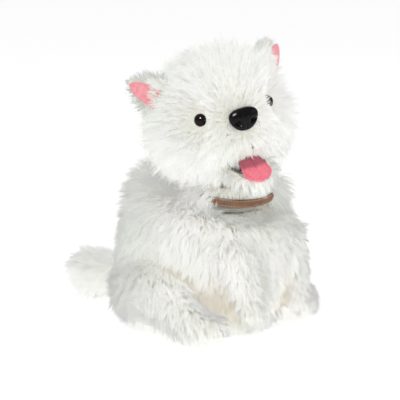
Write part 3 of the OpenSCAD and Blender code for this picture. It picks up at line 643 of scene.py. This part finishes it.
def tail_comb(p, n):
    """Backwards along the tail, spreading from its middle."""
    return np.array([0, 1.0, -0.5]) + 0.3 * unit(p - tail_mid)


def tail_inset(p):
    """The fur's depth: shallow on the thin root, greater in the bushy end."""
    return 0.001 + 0.007 * along_tail(p)


tail_skin = limb_skin("tail_skin", "tail_cover", tail_inset, "tail", 0.0025)
grow("tail_fur", tail_skin, 1.1, tail_length, tail_comb, constant(35.0), 31, "tail")

# ---------------------------------------------------------------- head

head_points = to_head(node_verts("head_cover"))
head_lo, head_hi = head_points.min(0), head_points.max(0)
nose_local = to_head(node_verts("nose"))
nose_lo, nose_hi = nose_local.min(0), nose_local.max(0)
nose_mid = (nose_lo + nose_hi) / 2
eye_points = to_head(node_verts("eyes"))
EYE_R = 0.007                 # radius of a bead
EYES = []                     # its centre, right then left
for s in (-1, 1):
    bead = eye_points[eye_points[:, 0] * s > 0]
    EYES.append(np.array([
        s * (np.abs(bead[:, 0]).max() - EYE_R), bead[:, 1].min() + EYE_R, bead[:, 2].max() - EYE_R]))
MOUTH_TOP = to_head(node_verts("palate_lining"))[:, 2].min() - 0.0015
MOUTH_BACK, MOUTH_HALF = -0.034, 0.029
HEAD_MID = np.array([0, (head_lo[1] + head_hi[1]) / 2, 0.062])
HEAD_R = np.array([head_hi[0] - 0.0105, (head_hi[1] - head_lo[1]) / 2 - 0.0105, 0.0545])
MUZZLE = np.array([0, nose_mid[1] + 0.022, nose_mid[2] - 0.017])
MUZZLE_R = np.array([0.026, 0.021, 0.021])


def ellipsoid_reach(rays, centre, radii, origin):
    """Distance along rays from origin to the far side of an ellipsoid, 0 where missed."""
    d, o = rays / radii, (origin - centre) / radii
    a, b, c = (d * d).sum(1), 2 * (d * o).sum(1), (o * o).sum() - 1
    root = b * b - 4 * a * c
    return np.where(root > 0, (-b + np.sqrt(np.maximum(root, 0))) / (2 * a), 0)


def head_surface():
    """Skull and muzzle with the mouth let in: points, triangles, how far in the mouth each point is."""
    rays, faces = icosphere(6)
    skull = ellipsoid_reach(rays, HEAD_MID, HEAD_R, HEAD_MID)
    muzzle = ellipsoid_reach(rays, MUZZLE, MUZZLE_R, HEAD_MID)
    full = neighbour_mean(np.maximum(skull, muzzle), faces, 10)
    with np.errstate(divide="ignore", invalid="ignore"):
        back = np.where(rays[:, 1] < 0, (MOUTH_BACK - HEAD_MID[1]) / rays[:, 1], np.inf)
        roof = np.where(rays[:, 2] < 0, (MOUTH_TOP - HEAD_MID[2]) / rays[:, 2], np.inf)
    enter = np.maximum(back, roof)
    across = np.abs(rays[:, 0]) * np.where(np.isfinite(enter), enter, 1.0)
    pocket = (enter < full) & (across < MOUTH_HALF)
    radius = np.where(pocket, enter, full)
    radius = neighbour_mean(radius, faces, 2)
    inside = neighbour_mean(pocket.astype(float), faces, 1)
    return HEAD_MID + rays * radius[:, None], faces, inside


head_verts, head_faces, head_pocket = head_surface()
head_skin = new_object("head_skin", from_head(head_verts), head_faces)
place(head_skin, "head", "white_fur", BACKING, "head_cover")
head_skin.data.materials.append(MOUTH_CLOTH)
pocket_face = head_pocket[head_faces].min(1) > 0.5
head_skin.data.polygons.foreach_set("material_index", pocket_face.astype(np.int32))
pocket_tree = KDTree(int((head_pocket > 0.25).sum()))
for i, v in enumerate(head_verts[head_pocket > 0.25]):
    pocket_tree.insert(v, i)
pocket_tree.balance()


def near(points, target):
    """Distances from points to a target."""
    return np.linalg.norm(points - target, axis=1)


def head_length(p, n):
    """Short round the eyes, the nose and its bridge, long at the cheeks, crown and back.
    None under the eyes and nose, in the mouth or over the neck."""
    q = to_head(p)
    long = 0.026 + 0.010 * step(0.085, 0.04, q[:, 2]) * step(-0.035, 0.0, q[:, 1])
    for eye in EYES:
        inward = step(0.0, 0.010, np.abs(eye[0]) - np.sign(eye[0]) * q[:, 0])
        long = np.minimum(long, 0.002 + 0.032 * step(EYE_R * 1.1, 0.036, near(q, eye) + 0.005 * inward))
    nose = np.linalg.norm((q - nose_mid) / np.array([1.0, 1.0, 0.85]), axis=1)
    long = np.minimum(long, 0.005 + 0.030 * step(0.015, 0.060, nose))
    bridge = np.exp(-(q[:, 0] / 0.016) ** 2) * np.exp(-((q[:, 2] - nose_hi[2]) / 0.016) ** 2) * (q[:, 1] < 0)
    long = long * (1 - 0.2 * bridge)
    on_nose = (np.abs(q[:, 0]) < nose_hi[0] - 0.003) & (q[:, 2] > nose_lo[2] + 0.003)
    on_nose &= (q[:, 2] < nose_hi[2] - 0.002) & (q[:, 1] < 0)
    lip = np.array([pocket_tree.find(v)[2] for v in q])
    front_lip = (q[:, 1] < MOUTH_BACK) & (q[:, 2] < MOUTH_TOP + 0.016)
    long = np.where(front_lip, np.clip(long, 0.014, 0.020), long)
    long = np.where(lip < 0.0006, 0, long)
    for eye in EYES:
        long = np.where(near(q, eye) < EYE_R * 1.25, 0, long)
    over_neck = (np.linalg.norm(q[:, :2], axis=1) < 0.034) & (q[:, 2] < 0.03) & (q[:, 1] > MOUTH_BACK)
    long = np.where(over_neck, 0, long)
    return np.where(on_nose, 0, long)


def head_comb(p, n):
    """Outwards from the nose all round the face, hanging at the cheeks and over the lip."""
    q = to_head(p)
    away = unit(q - (nose_mid + np.array([0, -0.01, 0.006])))
    hang = step(0.060, 0.0, q[:, 2])[:, None] * np.array([0, 0.10, -1.5])
    eye_out = np.zeros_like(q)
    for eye in EYES:
        w = np.exp(-(near(q, eye) / 0.014) ** 2)[:, None]
        eye_out += 1.5 * w * unit(q - eye)
    return (away + hang + eye_out) @ HEAD_AXES


def head_lean(p, n):
    """Fur lies flatter round the nose and stands up away from it."""
    q = to_head(p)
    nose = near(q, nose_mid)
    return 34.0 + 24.0 * step(0.06, 0.02, nose)


def head_parts(p):
    """The quarters of the head."""
    return quarters(to_head(p) - HEAD_MID)


grow("head_fur", head_skin, 1.5, head_length, head_comb, head_lean, 41, "head",
     parts=head_parts, part_names=[f"head_fur_{k}" for k in range(1, 5)], droop=0.12, clump=7, width=0.0007)

# ---------------------------------------------------------------- neck

neck_skin = limb_skin("neck_skin", "neck_sleeve", 0.0002, "neck", 0.0015)


def neck_length(p, n):
    """Long at the nape and sides, short at the throat, none inside the sleeve or up in the head."""
    outward = (unit((p - NECK) * np.array([1, 1, 0])) * n).sum(1) > 0.4
    facing = unit((p - NECK) * np.array([1, 1, 0])) @ (-HEAD_Y)
    return np.where(outward & (p[:, 2] < NECK[2] + 0.002), 0.032 - 0.025 * step(0.55, 0.80, facing), 0.0)


grow("neck_fur", neck_skin, 1.0, neck_length, down, constant(34.0), 51, "neck")

# ---------------------------------------------------------------- ears

ear_skin = limb_skin("ear_skins", "ear_covers", 0.0012, "head", 0.0018)
lining_points = to_head(node_verts("ear_linings"))
EAR_FRAMES = []
for s in (-1, 1):
    pts = lining_points[lining_points[:, 0] * s > 0]
    middle = pts.mean(0)
    facing = np.linalg.svd(pts - middle, full_matrices=False)[2][2]
    facing = facing if facing[1] < 0 else -facing
    tip = pts[np.argmax(near(pts, HEAD_MID))]
    way = unit((tip - middle) - ((tip - middle) @ facing) * facing)
    EAR_FRAMES.append((s, middle, way, facing, pts))


def ear_side(q, item):
    """The left or the right ear's own vector for each point."""
    return np.where(q[:, :1] > 0, EAR_FRAMES[1][item], EAR_FRAMES[0][item])


def ear_length(p, n):
    """A furry back and rim, shorter towards the tip; the inner face stays bare for the lining."""
    q, m = to_head(p), n @ HEAD_AXES.T
    inner = (m * ear_side(q, 3)).sum(1)
    outward = ((q - ear_side(q, 1)) * ear_side(q, 2)).sum(1)
    rim = -np.sign(q[:, 0]) * (q - ear_side(q, 1))[:, 0]
    bare = step(0.45, 0.8, inner) * (1 - step(0.007, 0.011, rim))
    return (0.013 - 0.006 * step(0.0, 0.018, outward)) * (1 - bare)


def ear_comb(p, n):
    """Towards the ear's tip and forwards over its rim."""
    q = to_head(p)
    return (ear_side(q, 2) + 0.8 * ear_side(q, 3)) @ HEAD_AXES


grow("ear_fur", ear_skin, 1.6, ear_length, ear_comb, constant(40.0), 61, "head",
     droop=0.0, clump=7, width=0.0007)


def sheet(name, grid, thickness, to_world):
    """A closed thin sheet over a grid of points; thickness is measured along the grid's own normals."""
    rows, cols = grid.shape[:2]
    du, dv = np.gradient(grid, axis=0), np.gradient(grid, axis=1)
    normal = unit(np.cross(du, dv))
    top, low = grid + normal * thickness / 2, grid - normal * thickness / 2
    verts = np.concatenate([top.reshape(-1, 3), low.reshape(-1, 3)])
    n, faces = rows * cols, []
    for i in range(rows - 1):
        for j in range(cols - 1):
            a, b, c, d = i * cols + j, i * cols + j + 1, (i + 1) * cols + j + 1, (i + 1) * cols + j
            faces += [(a, b, c, d), (n + a, n + d, n + c, n + b)]
    rim = [i * cols for i in range(rows)] + [(rows - 1) * cols + j for j in range(1, cols)]
    rim += [i * cols + cols - 1 for i in range(rows - 2, -1, -1)] + list(range(cols - 2, 0, -1))
    for a, b in zip(rim, rim[1:] + rim[:1]):
        faces.append((a, n + a, n + b, b))
    return new_object(name, to_world(verts), faces)


def ear_lining(s, middle, way, facing, pts):
    """A cupped pink inner ear, rounded at the tip."""
    across = np.cross(way, facing)
    reach, sideways, depth = ((pts - middle) @ d for d in (way, across, facing))
    u, v = np.meshgrid(np.linspace(-1, 1, 25), np.linspace(0, 1, 25))
    along = reach.min() - 0.002 + (reach.max() - reach.min() + 0.002) * v
    centre = (sideways.max() + sideways.min()) / 2
    tip = np.sqrt(np.clip(1 - (v / 1.001) ** 3.2, 0.002, 1))
    wide = (np.ptp(sideways) / 2 - 0.0005) * tip * (1 - 0.25 * v)
    lift = depth.max() + 0.0002 - 0.0005 * (1 - u * u)
    side = centre + u * wide
    grid = middle + along[..., None] * way + side[..., None] * across + lift[..., None] * facing
    obj = sheet(f"ear_lining_{'left' if s > 0 else 'right'}", grid, 0.0012, from_head)
    return place(obj, "head", "pink_satin", PINK_PLUSH)


linings = [ear_lining(*e) for e in EAR_FRAMES]
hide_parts("ear_linings")

# ---------------------------------------------------------------- eyes

EYE_GLASS = Nodes("eye_bead")
EYE_GLASS.colour(EYE_GLASS.ramp(
    EYE_GLASS.noise(90.0), [(0.3, (0.006, 0.004, 0.003)), (0.7, (0.014, 0.008, 0.006))]))
EYE_GLASS.set(Roughness=0.06)
EYE_GLASS.shader.inputs["Specular IOR Level"].default_value = 0.12
NOSE_SKIN = Nodes("nose_skin")
nose_cells = NOSE_SKIN.add("ShaderNodeTexVoronoi", in_Scale=900.0)
NOSE_SKIN.link(NOSE_SKIN.coordinates(), nose_cells.inputs["Vector"])
NOSE_SKIN.colour(NOSE_SKIN.ramp(
    NOSE_SKIN.noise(200.0), [(0.3, (0.004, 0.0035, 0.004)), (0.7, (0.010, 0.009, 0.010))]))
NOSE_SKIN.bump(nose_cells.outputs["Distance"], 0.25, 0.0003)
NOSE_SKIN.set(Roughness=0.20)
NOSE_SKIN.shader.inputs["Specular IOR Level"].default_value = 0.12


def eye_bead(s, eye):
    """A domed bead with a flat collar behind it."""
    out = unit(eye - HEAD_MID)
    eye = eye + 0.0018 * out
    side = unit(np.cross(out, [0, 0, 1]))
    up = np.cross(side, out)
    profile = [(0, 1.0)] + [(math.sin(a), math.cos(a)) for a in np.linspace(0.08, 1.75, 22)]
    profile += [(0.86, -0.28), (0.5, -0.34), (0.28, -0.4), (0.28, -0.9), (0, -0.95)]
    sides, verts, faces = 48, [], []
    for k in range(sides):
        a = 2 * math.pi * k / sides
        for r, h in profile[1:-1]:
            verts.append(eye + EYE_R * (r * (math.cos(a) * side + math.sin(a) * up) + h * out))
    count = len(profile) - 2
    for k in range(sides):
        for i in range(count - 1):
            a, b = k * count, ((k + 1) % sides) * count
            faces.append((a + i, a + i + 1, b + i + 1, b + i))
    verts += [eye + EYE_R * out, eye - EYE_R * 0.95 * out]
    for k in range(sides):
        a, b = k * count, ((k + 1) % sides) * count
        faces += [(len(verts) - 2, a, b), (len(verts) - 1, b + count - 1, a + count - 1)]
    obj = new_object(f"eye_{'left' if s > 0 else 'right'}", from_head(np.array(verts)), faces)
    return place(obj, "head", "eye_black", EYE_GLASS.material)


eye_beads = [eye_bead(s, eye) for s, eye in zip((-1, 1), EYES)]
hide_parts("eyes")

# ---------------------------------------------------------------- nose


def nose_mesh():
    """A moulded nose: broad on top, narrow below, with comma nostrils and a centre groove."""
    rays, faces = icosphere(6)
    soft = np.sign(rays) * np.abs(rays) ** 0.82
    soft = soft / np.abs(soft).max(0)
    x, y, z = soft.T
    size = (nose_hi - nose_lo) / 2
    wide = 1.0 + 0.16 * z - 0.10 * step(0.2, -1.0, z)
    front = step(0.1, -0.6, y)
    dent = 0
    for s in (-1, 1):
        hole = np.exp(-(((x * s - 0.50) / 0.17) ** 2 + ((z + 0.20) / 0.20) ** 2))
        tail = np.exp(-(((x * s - 0.74) / 0.22) ** 2 + ((z + 0.30 - 0.35 * (x * s - 0.5)) / 0.10) ** 2))
        dent = dent + 0.55 * hole + 0.32 * tail
    groove = 0.16 * np.exp(-(x / 0.07) ** 2) * step(0.25, -0.15, z)
    crown = 0.10 * np.exp(-(((np.abs(x) - 0.45) / 0.35) ** 2 + ((z - 0.35) / 0.4) ** 2))
    y = y + front * (dent + groove - crown)
    return np.stack([x * wide * size[0], y * size[1] * 0.72, z * size[2]], 1), faces


shape, faces = nose_mesh()
nose_front = np.array([0, nose_lo[1] + 0.008, nose_mid[2]])
nose_moulded = new_object("nose_moulded", from_head(shape + nose_front), faces)
place(nose_moulded, "head", "nose_black", NOSE_SKIN.material, "nose")

# ---------------------------------------------------------------- jaw, tongue and mouth lining

OPEN = math.radians(18.0)   # how far the mouth is open at rest
JAW_AXES = np.array([
    HEAD_AXES[0],
    math.cos(OPEN) * HEAD_AXES[1] + math.sin(OPEN) * HEAD_AXES[2],
    -math.sin(OPEN) * HEAD_AXES[1] + math.cos(OPEN) * HEAD_AXES[2]])


def to_jaw(p):
    """World points in jaw coordinates: origin at the jaw's hinge, -Y out of the mouth."""
    return (p - JAW) @ JAW_AXES.T


def from_jaw(p):
    """Jaw coordinates back to world points."""
    return p @ JAW_AXES + JAW


jaw_skin = limb_skin("jaw_skin", "jaw_cover", 0.0025, "jaw", 0.0018)


def jaw_length(p, n):
    """A furry chin; bare inside the mouth and under the tongue."""
    q = to_jaw(p)
    m = n @ JAW_AXES.T
    inner = (m[:, 2] > 0.75) | ((q[:, 1] > -0.038) & (np.abs(q[:, 0]) < 0.013) & (m[:, 2] > -0.2))
    return np.where(inner, 0.0, 0.014 - 0.003 * step(-0.03, -0.01, q[:, 1]))


def jaw_comb(p, n):
    """Down and forwards over the chin."""
    return np.tile([0, -0.35, -1.0], (len(p), 1)) @ HEAD_AXES


grow("jaw_fur", jaw_skin, 1.2, jaw_length, jaw_comb, constant(42.0), 71, "jaw", clump=6)

tongue_points = to_jaw(node_verts("tongue"))
tongue_lo, tongue_hi = tongue_points.min(0), tongue_points.max(0)


def tongue_grid(rows=41, cols=41):
    """U-shaped felt: crowned, with a centre crease and a stitched channel near its edge."""
    u, v = np.meshgrid(np.linspace(-1, 1, cols), np.linspace(0, 1, rows))
    half, long = tongue_hi[0], tongue_hi[1] - tongue_lo[1] + 0.004
    bend = 1 - half / long
    round_tip = np.sqrt(np.clip(1 - ((v - bend) / (1.0005 - bend)) ** 2, 0.0004, 1))
    wide = half * (0.80 + 0.20 * step(0.1, 0.7, v)) * np.where(v < bend, 1, round_tip)
    edge = np.minimum((1 - np.abs(u)) * wide, (1.0 - v) * long)
    crease = 0.0011 * np.exp(-(u * wide / 0.0016) ** 2) * step(1.0, 0.7, v)
    stitch = 0.0007 * np.exp(-((edge - 0.0026) / 0.0007) ** 2)
    crown = 0.0022 * (u * wide / half) ** 2 + 0.0085 * v ** 1.8
    z = tongue_hi[2] - 0.0005 - crease - stitch - crown
    return np.stack([u * wide, tongue_hi[1] - v * long, z], -1)


tongue_obj = sheet("tongue_felt", tongue_grid(), 0.0032, from_jaw)
place(tongue_obj, "jaw", "pink_felt", TONGUE_FELT, "tongue")
tongue_q = to_jaw(mesh_arrays(tongue_obj)[0])
tongue_v = (tongue_hi[1] - tongue_q[:, 1]) / (tongue_hi[1] - tongue_q[:, 1].min())
# painted shade mask: 1 at the back of the tongue, where it goes into the mouth, 0 towards the tip
mouth_shade = step(0.62, 0.40, tongue_v + 0.10 * (tongue_q[:, 0] / tongue_hi[0]) ** 2)
tongue_obj.data.attributes.new("along", "FLOAT", "POINT").data.foreach_set("value", mouth_shade)

lining_u, lining_v = np.meshgrid(np.linspace(-1, 1, 31), np.linspace(0, 1, 31))
jaw_points = to_jaw(node_verts("jaw_cover"))
jaw_half = jaw_points[:, 0].max() - 0.0075
jaw_long = -jaw_points[:, 1].min() - 0.010
lining_w = jaw_half * np.sqrt(np.clip(1 - (lining_v / 1.001) ** 4, 0.01, 1))
lining_grid = np.stack([
    lining_u * lining_w, -0.006 - lining_v * (jaw_long - 0.006),
    -0.0030 + 0.0040 * lining_u ** 4 - 0.0010 * lining_v ** 2], -1)
place(sheet("jaw_lining", lining_grid, 0.0012, from_jaw), "jaw", "mouth_lining", MOUTH_CLOTH)

# ---------------------------------------------------------------- collar

strap = node_verts("collar_strap")
collar_mid = (strap.min(0) + strap.max(0)) / 2
collar_axis = np.linalg.svd(strap - strap.mean(0), full_matrices=False)[2][2]
collar_axis = collar_axis if collar_axis[2] > 0 else -collar_axis
strap_high = (strap - collar_mid) @ collar_axis
strap_r = np.linalg.norm((strap - collar_mid) - strap_high[:, None] * collar_axis, axis=1)
STRAP_IN, STRAP_OUT = strap_r.min(), strap_r.max()
STRAP_HALF = np.abs(strap_high).max()
collar_x = unit(np.cross(collar_axis, [0, 1.0, 0]))
collar_y = np.cross(collar_axis, collar_x)


def collar_point(angle, radius, height):
    """A point at an angle round the collar, a radius from its axis and a height along it."""
    out = math.cos(angle) * collar_x + math.sin(angle) * collar_y
    return collar_mid + radius * out + height * collar_axis


def collar_band(sides=240):
    """A leather band with rolled edges and a slightly padded middle."""
    half, skin, mid = STRAP_HALF, STRAP_OUT, (STRAP_IN + STRAP_OUT) / 2
    outline = [(STRAP_IN, -half + 0.0006), (mid, -half), (skin, -half + 0.0006),
               (skin + 0.0001, -half * 0.72), (skin - 0.0002, -half * 0.62),
               (skin + 0.0004, -half * 0.3), (skin + 0.0006, 0),
               (skin + 0.0004, half * 0.3), (skin - 0.0002, half * 0.62), (skin + 0.0001, half * 0.72),
               (skin, half - 0.0006), (mid, half), (STRAP_IN, half - 0.0006)]
    verts, faces, count = [], [], len(outline)
    for k in range(sides):
        a = 2 * math.pi * k / sides
        verts += [collar_point(a, r, h) for r, h in outline]
    for k in range(sides):
        for i in range(count):
            a, b, j = k * count, ((k + 1) % sides) * count, (i + 1) % count
            faces.append((a + i, b + i, b + j, a + j))
    return new_object("collar_band", np.array(verts), faces)


def collar_stitches():
    """Two rows of short raised threads."""
    verts, faces = [], []
    pitch, long, thick = 0.0030, 0.0021, 0.00042
    count = int(2 * math.pi * STRAP_OUT / pitch)
    ring = [2 * math.pi * k / 6 for k in range(6)]
    for row in (-0.66, 0.66):
        for k in range(count):
            middle = 2 * math.pi * k / count
            base = len(verts)
            for t, r in ((-1, 0.35), (-0.6, 1), (0, 1.15), (0.6, 1), (1, 0.35)):
                a = middle + t * long / 2 / STRAP_OUT
                lift = STRAP_OUT + 0.00005 - 0.0003 * t * t
                for b in ring:
                    verts.append(collar_point(a, lift + r * thick * math.cos(b),
                                              row * STRAP_HALF + r * thick * math.sin(b)))
            for i in range(4):
                low = base + 6 * i
                for j in range(6):
                    m = (j + 1) % 6
                    faces.append((low + j, low + 6 + j, low + 6 + m, low + m))
            faces.append(tuple(base + j for j in range(6)))
            faces.append(tuple(base + 24 + j for j in range(5, -1, -1)))
    return new_object("collar_stitches", np.array(verts), faces)


place(collar_band(), "torso", "collar_leather", LEATHER, "collar_strap")
place(collar_stitches(), "torso", "collar_leather", THREAD)

# ---------------------------------------------------------------- CAD parts that stay

# colour, roughness, size of the grain, how metallic
SLOT_LOOKS = {
    "brass_trim": ((0.72, 0.52, 0.24), 0.25, 500.0, 1.0),
    "base_plastic": ((0.80, 0.80, 0.77), 0.5, 900.0, 0.0),
    "frame_plastic": ((0.70, 0.70, 0.68), 0.45, 900.0, 0.0),
    "dark_plastic": ((0.03, 0.03, 0.033), 0.5, 1200.0, 0.0),
    "gear_plastic": ((0.80, 0.78, 0.70), 0.3, 700.0, 0.0),
    "button_plastic": ((0.60, 0.08, 0.06), 0.3, 800.0, 0.0),
    "steel": ((0.55, 0.55, 0.56), 0.3, 1500.0, 1.0),
    "cell_wrap": ((0.05, 0.22, 0.10), 0.35, 600.0, 0.0),
    "board": ((0.01, 0.12, 0.05), 0.35, 1500.0, 0.0),
    "speaker_paper": ((0.02, 0.02, 0.02), 0.8, 2500.0, 0.0),
    "mouth_lining": ((0.03, 0.008, 0.009), 0.9, 1500.0, 0.0),
}
LOOKS = {slot: plastic_material(slot, colour, rough, grain, metal)
         for slot, (colour, rough, grain, metal) in SLOT_LOOKS.items()}
for part in frame["record"]["subparts"]:
    material = LOOKS.get(part["material_slot"])
    if material:
        mesh = frame["nodes"][part["node"]].data
        mesh.materials.clear()
        mesh.materials.append(material)

# ---------------------------------------------------------------- floor, lights, camera

FLOOR_HALF, FLOOR_Z = 20, -0.0004
floor_corners = [(x * FLOOR_HALF, y * FLOOR_HALF, FLOOR_Z) for x, y in ((-1, -1), (1, -1), (1, 1), (-1, 1))]
floor = new_object("floor", floor_corners, [(0, 1, 2, 3)])
FLOOR = Nodes("floor_white")
FLOOR.colour(FLOOR.ramp(FLOOR.noise(2.0), [(0.0, (0.93, 0.93, 0.93)), (1.0, (0.94, 0.94, 0.94))]))
FLOOR.set(Roughness=0.9, Emission_Strength=0.42)
FLOOR.shader.inputs["Emission Color"].default_value = (1, 1, 1, 1)
floor.data.materials.append(FLOOR.material)

world = bpy.data.worlds.new("studio")
world.use_nodes = True
backdrop = world.node_tree.nodes["Background"]
backdrop.inputs["Color"].default_value = (1, 1, 1, 1)
ray = world.node_tree.nodes.new("ShaderNodeLightPath")
strength = world.node_tree.nodes.new("ShaderNodeMapRange")
strength.inputs["To Min"].default_value = 0.60
strength.inputs["To Max"].default_value = 0.15
world.node_tree.links.new(ray.outputs["Is Glossy Ray"], strength.inputs["Value"])
world.node_tree.links.new(strength.outputs["Result"], backdrop.inputs["Strength"])
bpy.context.scene.world = world


def area_light(name, azimuth, elevation, distance, size, power, colour, soft=True):
    """A square lamp that faces the middle of the object; not soft means it only makes highlights."""
    a, e = math.radians(azimuth), math.radians(elevation)
    away = Vector((math.sin(a) * math.cos(e), -math.cos(a) * math.cos(e), math.sin(e)))
    lamp = bpy.data.lights.new(name, "AREA")
    lamp.size, lamp.energy, lamp.color = size, power, colour
    obj = bpy.data.objects.new(name, lamp)
    obj.location = Vector((0, 0, 0.15)) + away * distance
    obj.rotation_euler = away.to_track_quat("Z", "Y").to_euler()
    obj.visible_diffuse = soft
    bpy.context.scene.collection.objects.link(obj)


area_light("key", -75, 55, 1.6, 0.9, 4.6, (0.96, 1.0, 0.93))
area_light("side", 30, 30, 1.6, 0.9, 3.2, (0.97, 0.92, 1.0))
area_light("top", -50, 85, 1.6, 1.2, 2.0, (1, 1, 1))
area_light("sparkle", -62, 42, 1.3, 0.30, 45.0, (1, 1, 1), soft=False)

VIEW_AZIMUTH, VIEW_ELEVATION, VIEW_DISTANCE = math.radians(-50), math.radians(11), 2.6
VIEW_WIDTH = 0.418   # metres across the picture at the object
back = Vector((math.sin(VIEW_AZIMUTH) * math.cos(VIEW_ELEVATION),
               -math.cos(VIEW_AZIMUTH) * math.cos(VIEW_ELEVATION), math.sin(VIEW_ELEVATION)))
right = Vector((math.cos(VIEW_AZIMUTH), math.sin(VIEW_AZIMUTH), 0))
upward = back.cross(right)
aim = right * -0.0084 + upward * 0.1269
camera_data = bpy.data.cameras.new("camera")
camera_data.sensor_width = 36
camera_data.lens = camera_data.sensor_width * VIEW_DISTANCE / VIEW_WIDTH
camera = bpy.data.objects.new("camera", camera_data)
camera.location = aim + back * VIEW_DISTANCE
camera.rotation_euler = Matrix((right, upward, back)).transposed().to_euler()
bpy.context.scene.collection.objects.link(camera)
bpy.context.scene.camera = camera
bpy.context.scene.view_settings.view_transform = "Standard"
